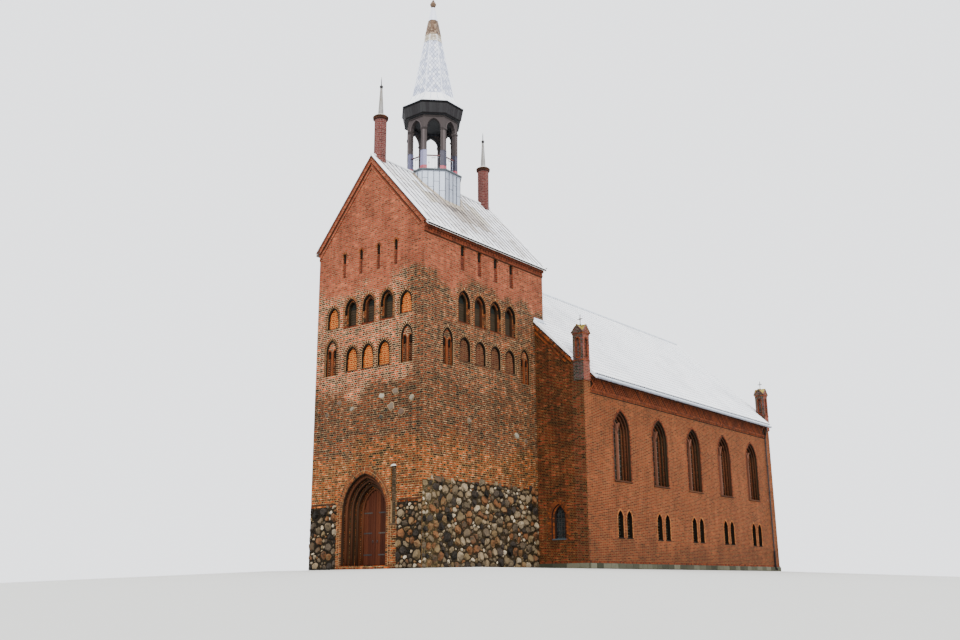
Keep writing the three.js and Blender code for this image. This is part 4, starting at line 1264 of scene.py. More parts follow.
            # The dark lines along these courses paint their shadows
            lines.block(plane, whole, (14.97, 15.01), (-0.01, 0.02))
            lines.block(plane, whole, (15.4, 15.43), (0.0, 0.122))
        drop = math.cos(math.atan(TOWER_FALL))
        length = self.half / drop
        for side, where in ((Side.FRONT, 0.0), (Side.REAR, self.depth)):
            for sign in (1, -1):
                plane = side.rake(where, self.gable_peak, TOWER_FALL, sign)
                bricks.run(plane, (0.12, length), (-0.24 * drop, -0.05 * drop), (0.0, 0.05), 0.13)
                bricks.run(plane, (0.55, length - 0.1), (-0.5 * drop, -0.33 * drop), (0.0, 0.026), 0.26)
                lines.block(plane, (0.05, length), (-0.05 * drop, -0.012), (0.0, 0.054))
                lines.block(plane, (0.3, length - 0.1), (-0.33 * drop, -0.24 * drop), (-0.02, 0.012))
                lines.block(plane, (0.6, length - 0.1), (-0.53 * drop, -0.5 * drop), (-0.02, 0.014))
        bricks.piece("tower_cornice_bricks", self.stock.of(NEW_BRICK), "old_brick")
        lines.piece("tower_cornice_shadow_courses", self.stock.of(REVEAL_BRICK), "old_brick")


@dataclass
class Portal:
    """The stepped portal of the tower with its doors, and the slit beside it."""

    stock: Stock
    half: float = 1.41
    centre: float = 0.32
    sill: float = 0.15
    spring: float = 2.51
    order_width: float = 0.16
    order_depth: float = 0.19
    orders: int = 4
    door_face: float = 0.8
    slit_middle: float = 1.805

    def build(self) -> None:
        """Builds the portal's steps, then the slit, then the doors."""
        self.build_orders()
        self.build_slit()
        self.build_doors()

    def order(self, i: int) -> Arch:
        """The arch of one stepped order, the outermost first."""
        return Arch(0.0, self.half - i * self.order_width, self.centre, self.sill, self.spring)

    def build_orders(self) -> None:
        """Builds the rings of brick on the wall face and the round mouldings on each step."""
        plane = Side.FRONT.plane(0.0)
        shell = Shell(SEED + 11)
        trim = ArchTrim(shell, plane)
        outer = self.order(0).grown(-0.008)
        second = outer.grown(0.145)
        trim.ring(outer, 0.12, (-0.1, 0.016), brick=0.095, gap=0.016)
        trim.ring(second, 0.13, (-0.1, 0.012), brick=0.1, gap=0.016)
        trim.jambs(outer, 0.12, (-0.1, 0.014), TOWER_COURSE, gap=0.016)
        trim.jambs(second, 0.13, (-0.1, 0.01), TOWER_COURSE, gap=0.016)
        shell.piece("portal_arch_bricks", self.stock.of(BURNT_BRICK), "old_brick")
        joints, dark = Shell(SEED + 9), Shell(SEED + 10)
        ArchTrim(joints, plane).strip(outer.grown(0.002), 0.285, (-0.08, 0.002))
        joints.piece("portal_arch_pointing", self.stock.of(PALE_MORTAR), "old_brick")
        # A dark strip inside the outer ring paints the shadow under it
        ArchTrim(dark, plane).strip(outer.grown(-0.035), 0.034, (-0.15, -0.01))
        dark.piece("portal_arch_reveal", self.stock.of(REVEAL_BRICK), "old_brick")
        steps = Shell(SEED + 12)
        trim = ArchTrim(steps, plane)
        for i in range(1, self.orders):
            depth = (-self.order_depth * i - 0.05, -self.order_depth * i + 0.008)
            edge = self.order(i).grown(-0.006)
            trim.ring(edge, 0.13, depth, brick=0.1)
            trim.jambs(edge, 0.13, depth, TOWER_COURSE)
        for i in range(self.orders):
            reveal = (-self.order_depth * (i + 1) + 0.01, -self.order_depth * i - 0.012)
            trim.strip(self.order(i).grown(-0.012), 0.011, reveal)
        steps.piece("portal_order_bricks", self.stock.of(PORTAL_BRICK), "old_brick")
        rolls = Shell(SEED + 13)
        trim = ArchTrim(rolls, plane)
        for i in range(1, self.orders + 1):
            out = -self.order_depth * i + 0.005
            trim.roll(self.order(i), 0.05, out, steps=12, sides=10)
            trim.roll(self.order(i).grown(0.085), 0.025, out, steps=12)
        rolls.piece("portal_round_mouldings", self.stock.of(PORTAL_BRICK), "old_brick", smooth=True)

    def build_slit(self) -> None:
        """Builds the rounded white cap and the brown filling of the slit right of the portal."""
        plane = Side.FRONT.plane(0.0)
        white, brown = Shell(SEED + 14), Shell(SEED + 15)
        cap = [(self.slit_middle + 0.165 * u, 4.39 + 0.085 * v) for u, v in turns(11, math.pi / 10)]
        white.slab(plane, cap, (-0.02, 0.016))
        brown.block(plane, (1.6, 2.0), (1.84, 1.91), (-0.2, 0.02), bevel=0.008)
        white.piece("portal_slit_whitewash", self.stock.of(WHITEWASH), "field_stone")
        for i in range(25):
            low = 1.91 + i * 0.0984
            shift = 0.07 * (i % 2)
            for a in ((1.652, 1.72 + shift), (1.732 + shift, 1.86 + shift / 2), (1.872 + shift / 2, 1.958)):
                front = -0.07 + brown.chance.uniform(-0.01, 0.01)
                brown.block(plane, a, (low + 0.008, low + 0.09), (-0.16, front))
        brown.piece("portal_slit_filling", self.stock.of(OLIVE_BRICK), "old_brick")

    def build_doors(self) -> None:
        """Builds the doors' planks, strap hinges and ring handles."""
        self.stock.dress(OAK, "portal_left_door", "portal_right_door")
        plane = Side.FRONT.plane(self.door_face)
        arch = Arch(0.0, 0.765, self.centre, self.sill, self.spring)
        planks = Shell(SEED + 14)
        for sign in (1, -1):
            for i in range(5):
                near = 0.012 + i * 0.15
                far = min(near + 0.142, 0.755)
                top = arch.top_at(far) - 0.01
                planks.block(plane, mirrored(sign, near, far), (0.19, top), (0.001, 0.024), bevel=0.006)
        planks.block(plane, (-0.03, 0.03), (0.19, 3.28), (0.001, 0.04), bevel=0.01, tone=0.3)
        planks.piece("portal_door_planks", self.stock.of(OAK), "dark_timber")
        iron = Shell(SEED + 15)
        for sign in (1, -1):
            for height in (0.6, 1.55, 2.45):
                strap = mirrored(sign, 0.2, 0.74)
                iron.block(plane, strap, (height, height + 0.06), (0.02, 0.034), bevel=0.004)
                for a in (0.25, 0.4, 0.55, 0.68):
                    nail = (sign * a - 0.014, sign * a + 0.014)
                    iron.block(plane, nail, (height + 0.016, height + 0.044), (0.03, 0.045), bevel=0.007)
            middle, size = sign * 0.14, 0.045
            ring = [plane.at(middle + size * u, 1.2 + size * v, size) for u, v in turns(16, math.tau / 16)]
            iron.sweep(ring, 0.008, 6, closed=True)
            iron.block(plane, (middle - 0.03, middle + 0.03), (1.215, 1.275), (0.02, 0.045), bevel=0.01)
        iron.piece("portal_door_ironwork", self.stock.of(IRON), "iron")


@dataclass
class FieldStones:
    """Split boulders laid in mortar: cells of a weighted diagram of seeded points, rounded and domed."""

    stock: Stock
    spacing: float = 0.25
    corners: int = 8

    def build(self) -> None:
        """Builds the fields of stone at the tower's foot, then the single boulders above."""
        self.build_bases()
        self.build_strays()

    def cell(self, index: int, spots: list[Corner], bounds: tuple[float, float, float, float]) -> Outline:
        """Gives the polygon of one stone's cell.

        Args:
            index: the stone's number.
            spots: every stone's place and weight.
            bounds: least and greatest across, least and greatest up.

        Returns:
            The polygon's corners.
        """
        x, y, w = spots[index]
        left, right, low, high = bounds
        poly = [(left, low), (right, low), (right, high), (left, high)]
        for j, (u, v, q) in enumerate(spots):
            if j == index or (u - x) ** 2 + (v - y) ** 2 > (3.2 * self.spacing) ** 2:
                continue
            nx, ny = u - x, v - y
            limit = (u * u + v * v - q - x * x - y * y + w) / 2
            kept: Outline = []
            for k, point in enumerate(poly):
                after = poly[(k + 1) % len(poly)]
                d0 = nx * point[0] + ny * point[1] - limit
                d1 = nx * after[0] + ny * after[1] - limit
                if d0 <= 0:
                    kept.append(point)
                if (d0 < 0 < d1) or (d1 < 0 < d0):
                    t = d0 / (d0 - d1)
                    kept.append((point[0] + t * (after[0] - point[0]), point[1] + t * (after[1] - point[1])))
            poly = kept
            if len(poly) < 3:
                return []
        return poly

    def boulder(self, shell: Shell, plane: Plane, poly: Outline) -> None:
        """Adds one stone that fills a polygon, domed and a little tilted, unless it would be tiny.

        Args:
            shell: the shell to add to.
            plane: the wall's face.
            poly: the polygon's corners.
        """
        chance = shell.chance
        mx = sum(p[0] for p in poly) / len(poly)
        my = sum(p[1] for p in poly) / len(poly)
        ways = turns(self.corners, math.tau / self.corners)
        # How far the polygon reaches from its middle, each way
        radii = []
        for dx, dy in ways:
            reach = 9.0
            for i, p in enumerate(poly):
                q = poly[(i + 1) % len(poly)]
                ex, ey = q[0] - p[0], q[1] - p[1]
                cross = dx * ey - dy * ex
                if abs(cross) < 1e-9:
                    continue
                t = ((p[0] - mx) * ey - (p[1] - my) * ex) / cross
                s = ((p[0] - mx) * dy - (p[1] - my) * dx) / cross
                if t > 0 and -1e-6 <= s <= 1 + 1e-6:
                    reach = min(reach, t)
            radii.append(reach if reach < 9 else 0.1)
        # The outline, rounded off where the polygon has a corner
        soft = []
        for k, r in enumerate(radii):
            soft.append(0.9 * min(r, 0.6 * r + 0.2 * (radii[k - 1] + radii[(k + 1) % self.corners])))
        size = sum(soft) / len(soft)
        if size < 0.045:
            return
        rise = min(0.12, size * chance.uniform(0.3, 0.6))
        tilt = (chance.uniform(-0.5, 0.5), chance.uniform(-0.5, 0.5))
        rings = []
        for scale, lift in ((1.0, -0.05), (1.0, 0.0), (0.88, 0.12), (0.8, 0.7), (0.52, 1.0)):
            ring = []
            for r, (u, v) in zip(soft, ways):
                bump = chance.uniform(0.78, 1.12)
                dx, dy = r * scale * bump * u, r * scale * bump * v
                out = lift
                if lift >= 0:
                    out = rise * lift * chance.uniform(0.9, 1.1) + (dx * tilt[0] + dy * tilt[1]) * lift
                ring.append(plane.at(mx + dx, my + dy, max(out, -0.05)))
            rings.append(ring)
        shell.loft(rings, chance.uniform(0.0, 1.0 if size < 0.12 else 0.9))

    def field(self, shell: Shell, plane: Plane, a: Span, b: Span) -> None:
        """Fills a field of wall with stones, the top edge left uneven.

        Args:
            shell: the shell to add to.
            plane: the wall's face.
            a: where the field starts and ends across the face.
            b: where it starts and ends up the face.
        """
        chance = shell.chance
        spots = []
        rows = round((b[1] - b[0]) / (self.spacing * 0.87))
        count = round((a[1] - a[0]) / self.spacing)
        wide, tall = (a[1] - a[0]) / count, (b[1] - b[0]) / rows
        for r in range(rows):
            for c in range(count):
                x = a[0] + (c + 0.25 + 0.5 * (r % 2) + chance.uniform(-0.34, 0.34)) * wide
                y = b[0] + (r + 0.5 + chance.uniform(-0.34, 0.34)) * tall
                spots.append((x, y, chance.choice((0.0, 0.0, 0.3, 1.1)) * self.spacing**2))
        for i in range(len(spots)):
            poly = self.cell(i, spots, (a[0], a[1], b[0], b[1] + chance.uniform(-0.2, 0.16)))
            if len(poly) >= 3:
                self.boulder(shell, plane, poly)

    def build_bases(self) -> None:
        """Builds the stones of both side bases and of the front beside the portal, with mortar behind."""
        fields = {
            "right": (Side.RIGHT.plane(TOWER_HALF), [(0.0, 8.5)]),
            "left": (Side.LEFT.plane(TOWER_HALF), [(0.0, 8.5)]),
            "front": (Side.FRONT.plane(0.0), [(-TOWER_HALF, -1.72), (2.0, TOWER_HALF)]),
        }
        for label, (plane, spans) in fields.items():
            shell = Shell(SEED + 20 + len(label))
            for span in spans:
                self.field(shell, plane, span, (0.0, 3.9 if label != "front" else 2.86))
            shell.piece(f"tower_{label}_field_stones", self.stock.of(FIELD_STONE), "field_stone")
        mortar = Shell(SEED + 24)
        for a in ((-3.49, -1.75), (2.03, 3.49)):
            mortar.block(Side.FRONT.plane(0.0), a, (0.0, 2.8), (-0.04, 0.006))
        for side in (Side.RIGHT, Side.LEFT):
            mortar.block(side.plane(TOWER_HALF), (0.01, 1.02), (0.0, 3.72), (-0.04, 0.006))
        mortar.piece("tower_corner_mortar", self.stock.of(LIME_MORTAR), "field_stone")
        ledge = Shell(SEED + 25)
        for a in ((-3.45, -1.8), (2.15, 3.45)):
            ledge.run(Side.FRONT.plane(0.0), a, (2.88, 2.95), (-0.02, 0.03), 0.26)
        ledge.piece("tower_front_dark_ledge", self.stock.of(REVEAL_BRICK), "old_brick")

    def build_strays(self) -> None:
        """Builds the single boulders that sit in the brickwork above, each bedded in mortar."""
        front = Side.FRONT.plane(0.0)
        right = Side.RIGHT.plane(TOWER_HALF)
        left = Side.LEFT.plane(TOWER_HALF)
        spots = [
            (front, 1.0, 7.61, 0.17, 0.86), (front, 1.87, 7.73, 0.2, 0.5), (front, 2.85, 7.34, 0.17, 0.68),
            (front, 1.58, 7.08, 0.2, 0.52), (front, 2.2, 6.78, 0.2, 0.36), (front, 0.97, 6.65, 0.14, 0.1),
            (front, -0.92, 7.23, 0.14, 0.66), (front, -1.77, 7.6, 0.16, 0.4), (front, -2.6, 7.1, 0.14, 0.3),
            (right, 6.88, 6.3, 0.19, 0.8), (right, 7.6, 6.1, 0.13, 0.4), (right, 3.2, 6.6, 0.16, 0.5),
            (left, 5.9, 6.4, 0.17, 0.6), (left, 2.7, 6.9, 0.15, 0.4),
        ]
        stones, beds = Shell(SEED + 27), Shell(SEED + 28)
        for plane, a, b, size, tone in spots:
            poly = []
            for u, v in turns(9, math.tau / 9):
                wide, tall = stones.chance.uniform(0.6, 1.25), stones.chance.uniform(0.6, 0.95)
                poly.append((size * wide * u, size * tall * v))
            beds.slab(plane, [(a + 1.1 * p, b + 1.1 * q) for p, q in poly], (-0.03, 0.004))
            stones.loft([
                [plane.at(a + k * p, b + k * q, c) for p, q in poly]
                for k, c in ((1.0, -0.03), (0.98, 0.01), (0.86, 0.035), (0.5, 0.045))
            ], tone)
        # A hole where a boulder has fallen out, drawn as a flat patch of the darkest tone that paints its
        # shade
        hole = [(1.19, 6.88), (1.34, 6.87), (1.36, 6.97), (1.21, 6.99)]
        stones.slab(front, hole, (-0.02, 0.006), 0.0)
        stones.piece("tower_stray_boulders", self.stock.of(STRAY_STONE), "field_stone")
        beds.piece("tower_stray_boulder_beds", self.stock.of(PALE_MORTAR), "field_stone")


@dataclass
class RoofSlope:
    """One slope of a saddle roof; its plane's across runs along the ridge and its up climbs the slope."""

    sign: int
    eave: float
    ridge: float
    fall: float
    start: float

    @property
    def stretch(self) -> float:
        """How much longer the slope is than what lies under it."""
        return math.sqrt(1 + self.fall**2)

    @property
    def length(self) -> float:
        """The slope's length from eave to ridge."""
        return self.eave * self.stretch

    @property
    def plane(self) -> Plane:
        """The slope's upper face.

        Returns:
            The plane.
        """
        k = self.stretch
        up = Vector((-self.sign / k, 0, self.fall / k))
        outward = Vector((self.sign * self.fall / k, 0, 1 / k))
        foot = at(self.sign * self.eave, self.start, self.ridge - self.fall * self.eave)
        return Plane(foot, Y, up, outward)


@dataclass
class TowerRoof:
    """The tower's roof of seamed sheets, with its drip boards and ridge roll."""

    stock: Stock
    half: float = 3.75
    ridge: float = TOWER_RIDGE
    fall: float = TOWER_FALL
    front: float = -0.06
    rear: float = 9.4
    seam: float = 0.42
    sheet: float = 0.98

    @property
    def width(self) -> float:
        """The roof's length along the ridge."""
        return self.rear - self.front

    def build(self) -> None:
        """Builds the roof's sheets, then its edges."""
        self.build_sheets()
        self.build_edges()

    def slope(self, sign: int) -> RoofSlope:
        """One side of the roof."""
        return RoofSlope(sign, self.half, self.ridge, self.fall, self.front)

    def build_sheets(self) -> None:
        """Builds the sheets, each with its own tone, greyer below the lantern, and the standing seams."""
        self.stock.dress(STAINED_SHEET, "tower_right_roof", "tower_left_roof")
        bays = round(self.width / self.seam)
        pitch = self.width / bays
        for label, sign in (("right", 1), ("left", -1)):
            slope = self.slope(sign)
            plane = slope.plane
            sheets, cream, seams = Shell(SEED + 31 + sign), Shell(SEED + 33), Shell(SEED + 36)
            for i in range(bays):
                low = -0.02
                cut = sheets.chance.uniform(0.5, 1.0)
                y = self.front + (i + 0.5) * pitch
                while low < slope.length - 0.05:
                    high = min(slope.length, low + (self.sheet * cut if low < 0 else self.sheet))
                    mid = (low + high) / 2
                    brown = math.exp(-(((y - 4.6) / 2.2) ** 2) - ((mid - 2.9) / 2.1) ** 2)
                    # Two patches behind and in front of the lantern are painted
                    behind, before = abs(y - 6.45) < 0.45, abs(y - 2.5) < 0.5
                    sandy = behind and 2.5 < mid < 5.0 or before and 2.8 < mid < 4.2
                    # High tones reach the near-white that paints the sky's reflection
                    tone = 0.94 - 0.7 * brown + sheets.chance.uniform(-0.16, 0.1)
                    tilt = sheets.chance.uniform(0.003, 0.012)
                    rings = []
                    for foot, head in ((-0.01, -0.01), (0.006 + tilt, 0.004)):
                        corners = ((0, low, foot), (1, low, foot), (1, high, head), (0, high, head))
                        rings.append([plane.at((i + j) * pitch, b, c) for j, b, c in corners])
                    (cream if sandy else sheets).loft(rings, tone=max(0.0, min(1.0, tone)))
                    low = high
            climb = (-0.03, slope.length)
            for i in range(bays + 1):
                a = i * pitch
                seams.block(plane, (a - 0.013, a + 0.013), climb, (-0.005, 0.034), bevel=0.004)
            sheets.piece(f"tower_{label}_roof_sheets", self.stock.of(STAINED_SHEET), "zinc")
            cream.piece(f"tower_{label}_roof_painted_sheets", self.stock.of(CREAM_SHEET), "zinc")
            seams.piece(f"tower_{label}_roof_seams", self.stock.of(SEAM), "zinc")

    def build_edges(self) -> None:
        """Builds the ridge roll, the verge strips, and the dark strips under eaves and verges that paint
        their shadow lines.
        """
        bright, dark, red = Shell(SEED + 34), Shell(SEED + 35), Shell(SEED + 37)
        top = self.ridge + 0.03
        for y0, y1 in ((self.front, 0.24), (0.85, 2.95), (5.95, 8.5), (9.1, self.rear)):
            bright.sweep([at(0, y0, top), at(0, y1, top)], 0.07, 8, tone=0.8)
        for sign in (1, -1):
            slope = self.slope(sign)
            climb = (-0.05, slope.length + 0.02)
            for a in ((-0.02, 0.1), (self.width - 0.1, self.width + 0.02)):
                bright.block(slope.plane, a, climb, (-0.03, 0.05), tone=0.9, bevel=0.01)
        drip = self.ridge - self.fall * self.half
        span = (self.front + 0.02, self.rear - 0.02)
        rake = math.cos(math.atan(self.fall))
        for sign in (1, -1):
            face = SIDES[sign].plane(self.half)
            # Dark strips under the eave and under each verge paint their shadow lines
            dark.block(face, span, (drip - 0.172, drip - 0.1), (-0.01, 0.012), tone=0.2)
            bright.block(face, span, (drip - 0.105, drip + 0.004), (-0.01, 0.02), tone=0.9, bevel=0.005)
            slope = self.slope(sign)
            for a in ((-0.016, 0.004), (self.width - 0.004, self.width + 0.016)):
                dark.block(slope.plane, a, (0.0, slope.length), (-0.085, -0.05), tone=0.1)
                red.block(slope.plane, a, (0.0, slope.length), (-0.2 * rake - 0.004, -0.085))
        bright.piece("tower_roof_edge_strips", self.stock.of(RIBBED_SHEET), "zinc")
        dark.piece("tower_eaves_shadow_strips", self.stock.of(TARRED_AND_SHADE_BOARD), "dark_timber")
        red.piece("tower_verge_bricks", self.stock.of(NEW_BRICK), "old_brick")


@dataclass
class RidgePinnacles:
    """The two round brick pinnacles on the tower's ridge, each with a slender spirelet."""

    stock: Stock
    radius: float = 0.31
    ring_radius: float = 0.37
    top: float = 22.01
    ball: float = 23.71

    def build(self) -> None:
        """Dresses both shafts and adds the brick collars, mortar caps, and the spirelets' balls and rods."""
        self.stock.dress(PINNACLE_BRICK, "front_ridge_pinnacle", "rear_ridge_pinnacle")
        self.stock.dress(SPIRELET_SHEET, "front_pinnacle_spirelet", "rear_pinnacle_spirelet")
        collars, caps, iron, strips = Shell(SEED + 41), Shell(SEED + 42), Shell(SEED + 43), Shell(SEED + 44)
        top, high = self.top, self.ball
        cap = [(0.36, top), (0.35, top + 0.03), (0.18, top + 0.143), (0.12, top + 0.16)]
        ball = [(0.02, -0.11), (0.062, -0.09), (0.075, -0.05), (0.092, 0.0), (0.075, 0.05), (0.03, 0.09)]
        rod = [(0.024, high + 0.08), (0.019, 24.1), (0.008, 24.24), (0.003, 24.25)]
        for y in (0.54, 8.8):
            for u, v in turns(16, math.tau / 16, math.pi / 16):
                outward = Vector((u, v, 0))
                face = upright(at(0, y, 0) + outward * self.ring_radius, outward)
                collars.block(face, (-0.07, 0.07), (top - 0.075, top - 0.004), (-0.1, 0.016), bevel=0.008)
                collars.block(face, (-0.066, 0.066), (top - 0.145, top - 0.083), (-0.1, 0.006), bevel=0.008)
            caps.turned(cap, 0, y, 16, tone=0.95)
            for u, v in turns(8, math.tau / 8, HALF_SIDE):
                foot = at(0.137 * u, y + 0.137 * v, top + 0.14)
                head = at(0.052 * u, y + 0.052 * v, high - 0.1)
                strips.sweep([foot, head], 0.009, 5)
            iron.turned([(r, high + z) for r, z in ball], 0, y, 12, tone=0.2)
            iron.turned(rod, 0, y, 8, tone=0.3)
        collars.piece("pinnacle_collar_bricks", self.stock.of(REVEAL_BRICK), "old_brick")
        caps.piece("pinnacle_mortar_caps", self.stock.of(WHITEWASH), "field_stone", smooth=True)
        strips.piece("spirelet_hip_strips", self.stock.of(SPIRELET_SHEET), "zinc")
        iron.piece("spirelet_balls", self.stock.of(IRON), "iron", smooth=True)


@dataclass
class Lantern:
    """The open eight-sided lantern: its sheet-clad drum, its posts and arches, and its cornice."""

    stock: Stock
    middle: float = SPIRE_MIDDLE
    drum: float = 1.55
    drum_top: float = 19.84
    deck: float = 1.61
    deck_top: float = 19.93
    arcade: float = 1.4
    inner: float = 1.18
    spring: float = 22.345
    arcade_top: float = 23.045
    panels: int = 4
    boards: int = 7
    rail_line: float = -0.085

    def build(self) -> None:
        """Builds the lantern from the drum up to the cornice."""
        self.build_drum()
        self.build_apron()
        self.build_deck()
        self.build_posts()
        self.build_ceiling()
        self.build_rails()
        self.build_cornice()

    def facet(self, k: int, radius: float) -> Plane:
        """Gives the plane of one of the eight sides.

        Args:
            k: number of the side, counted from the one that faces right.
            radius: distance of the corners from the axis.

        Returns:
            The plane; across is measured from the side's middle.
        """
        angle = k * math.tau / 8
        outward = Vector((math.cos(angle), math.sin(angle), 0))
        return upright(at(0, self.middle, 0) + outward * (radius * math.cos(HALF_SIDE)), outward)

    def panel(self, shell: Shell, k: int, share: Span, levels: Outline, thick: float, tone: Tone) -> None:
        """Adds a board or sheet that follows one side.

        Args:
            shell: the shell to add to.
            k: number of the side.
            share: where it starts and ends across the side, from -1 at one corner to 1 at the other.
            levels: its corner radius and height at each level.
            thick: how far it reaches inward from that radius.
            tone: its tone.
        """
        rings = []
        for radius, height in levels:
            half = radius * math.sin(HALF_SIDE)
            plane = self.facet(k, radius)
            corners = ((share[0], -thick), (share[1], -thick), (share[1], 0.0), (share[0], 0.0))
            rings.append([plane.at(a * half, height, out) for a, out in corners])
        shell.loft(rings, tone)

    @property
    def arch(self) -> Arch:
        """The arch of one side of the arcade, from its imposts up."""
        return Arch(0.0, 0.355, 0.2, self.spring, self.spring)

    @staticmethod
    def roof_height(point: Vector) -> float:
        """Gives the height of the tower's roof at a point."""
        return TOWER_RIDGE - TOWER_FALL * abs(point.x)

    def build_drum(self) -> None:
        """Builds the drum's upright sheets, lighter and bluer to the front as painted light, and their
        seams.
        """
        self.stock.dress(ZINC, "lantern_drum")
        sheets, seams = Shell(SEED + 51), Shell(SEED + 50)
        half = self.drum * math.sin(HALF_SIDE)
        top = self.drum_top
        for k in range(8):
            plane = self.facet(k, self.drum)
            for i in range(self.panels):
                a = -half + i * 2 * half / self.panels
                b = a + 2 * half / self.panels
                low, foot = (self.roof_height(plane.at(v, 0)) - 0.06 for v in (a, b))
                # Sides that face the front and left are toned lighter, as painted light
                tone = (0.78 if k in (4, 5, 6, 7) else 0.4) + sheets.chance.uniform(-0.1, 0.1)
                sheets.slab(plane, [(a, low), (b, foot), (b, top), (a, top)], (-0.01, 0.006), tone)
                if i:
                    seams.block(plane, (a - 0.012, a + 0.012), (low, top), (-0.005, 0.032), bevel=0.004)
                split = top - (0.42, 0.9, 0.6, 1.1)[i]
                if split > max(low, foot) + 0.1:
                    seams.block(plane, (a + 0.01, b - 0.01), (split, split + 0.012), (0.0, 0.014))
            corner = plane.at(half, 0, 0)
            low = self.roof_height(corner) - 0.06
            seams.sweep([corner + Z * low, corner + Z * (top - 0.005)], 0.018, 8)
        sheets.piece("lantern_drum_sheets", self.stock.of(ZINC), "zinc")
        seams.piece("lantern_drum_seams", self.stock.of(SEAM), "zinc")

    def build_apron(self) -> None:
        """Builds the sheet apron round the drum's foot, which follows the roof and bends over its ridge."""
        path: Outline = []
        for k, way in enumerate(turns(8, math.tau / 8, HALF_SIDE)):
            path.append(way)
            if k in (1, 5):
                path.append((0.0, math.cos(HALF_SIDE) * (1 if k == 1 else -1)))
        inside, skirt = self.drum - 0.03, self.drum + 0.24
        section = ((inside, 0.1), (self.drum + 0.014, 0.1), (self.drum + 0.016, 0.035), (skirt, 0.035),
                   (skirt + 0.01, -0.02), (inside, -0.02))
        rings = []
        for u, v in path:
            spots = [(at(radius * u, self.middle + radius * v, 0), lift) for radius, lift in section]
            rings.append([spot + Z * (self.roof_height(spot) + lift) for spot, lift in spots])
        apron = Shell(SEED + 52)
        apron.loft(rings, tone=lambda ring, side: 0.25 if ring in (0, 1, 7, 8, 9) else 0.8, looped=True)
        apron.piece("lantern_drum_apron", self.stock.of(CREAM_SHEET), "zinc")

    def build_deck(self) -> None:
        """Builds the deck's sheet cover and its dark nosing."""
        top, edge = self.deck_top, self.deck
        cover, nosing = Shell(SEED + 53), Shell(SEED + 54)
        cover.turned([
            (edge - 0.05, top - 0.005), (edge - 0.02, top + 0.004), (1.3, top + 0.012), (1.1, top + 0.012),
        ], 0, self.middle, 8, HALF_SIDE, tone=0.3)
        cover.piece("lantern_deck_sheet", self.stock.of(ZINC), "zinc")
        nosing.turned([
            (edge - 0.08, top - 0.11), (edge + 0.01, top - 0.1), (edge + 0.035, top - 0.07),
            (edge + 0.04, top - 0.02), (edge + 0.03, top + 0.002), (edge - 0.04, top + 0.008),
        ], 0, self.middle, 8, HALF_SIDE)
        nosing.piece("lantern_deck_nosing", self.stock.of(SLATE_PAINT), "zinc")

    def build_posts(self) -> None:
        """Builds the posts' foot bands, sheet wraps and imposts, and the mouldings of the arches."""
        self.stock.dress(TIMBER, "lantern_arcade")
        feet, wraps, wood = (Shell(SEED + i) for i in (55, 56, 57))
        half = self.arcade * math.sin(HALF_SIDE)
        depth = (self.arcade - self.inner) * math.cos(HALF_SIDE)
        # Each side's wrap is toned by how much light it gets: painted light and shade
        wrap_light_tones = (0.1, 0.12, 0.4, 0.6, 0.5, 0.7, 0.55, 0.95)
        # Each box round a post: its shell, reach inward, way out, lower and upper end, chamfer
        boxes = [
            (feet, 0.337, 0.02, 19.94, 20.2, 0.008), (wraps, 0.345, 0.01, 20.2, 21.05, 0.004),
            (wraps, 0.338, 0.018, 21.03, 21.06, 0.006), (wood, 0.335, 0.03, 22.24, 22.285, 0.01),
            (wood, 0.325, 0.042, 22.285, 22.335, 0.01),
        ]
        rim = (self.arcade_top - 0.1, self.arcade_top - 0.045)
        for k in range(8):
            plane = self.facet(k, self.arcade)
            for sign in (1, -1):
                tone = wrap_light_tones[(k + (sign > 0)) % 8]
                for shell, reach, out, low, high, bevel in boxes:
                    ends = mirrored(sign, reach, half + out * math.tan(HALF_SIDE))
                    own = tone if shell is wraps else None
                    shell.block(plane, ends, (low, high), (-depth - out, out), own, bevel)
                corner = mirrored(sign, half - 0.055, half + 0.005)
                wood.block(plane, corner, (21.07, 22.22), (0.0, 0.014), 1.0, 0.004)
            ArchTrim(wood, plane).roll(self.arch.grown(0.02), 0.022, 0.004, steps=8, sides=6)
            wood.block(plane, (-half, half), rim, (-0.02, 0.026), bevel=0.01)
        feet.piece("lantern_post_foot_bands", self.stock.of(RED_PAINT), "timber")
        wraps.piece("lantern_post_sheet_wraps", self.stock.of(WRAP_SHEET), "zinc")
        wood.piece("lantern_arch_mouldings", self.stock.of(TIMBER), "timber")

    def build_ceiling(self) -> None:
        """Builds the boards of the ceiling and the lining behind the arches."""
        # Ceiling and lining are nearly black to paint the shade inside the lantern
        lining = Shell(SEED + 62)
        depth = (self.arcade - self.inner) * math.cos(HALF_SIDE)
        for k in range(8):
            plane = self.facet(k, self.arcade)
            ArchTrim(lining, plane).strip(self.arch.grown(0.005), 0.085, (-depth - 0.014, -depth - 0.001))
            lining.block(plane, (-0.43, 0.43), (22.96, 23.035), (-depth - 0.016, -depth - 0.001))
        ceiling = Plane(at(0, self.middle, 23.04), X, Y, -Z)
        for i in range(-7, 7):
            x0, x1 = i * 0.15 + 0.004, i * 0.15 + 0.146
            reach = min(math.sqrt(max(0.01, 1.06**2 - x * x)) for x in (x0, x1))
            lining.block(ceiling, (x0, x1), (-reach, reach), (0.0, 0.02), bevel=0.004)
        lining.piece("lantern_ceiling_boards", self.stock.of(BLUE_BOARD), "dark_timber")

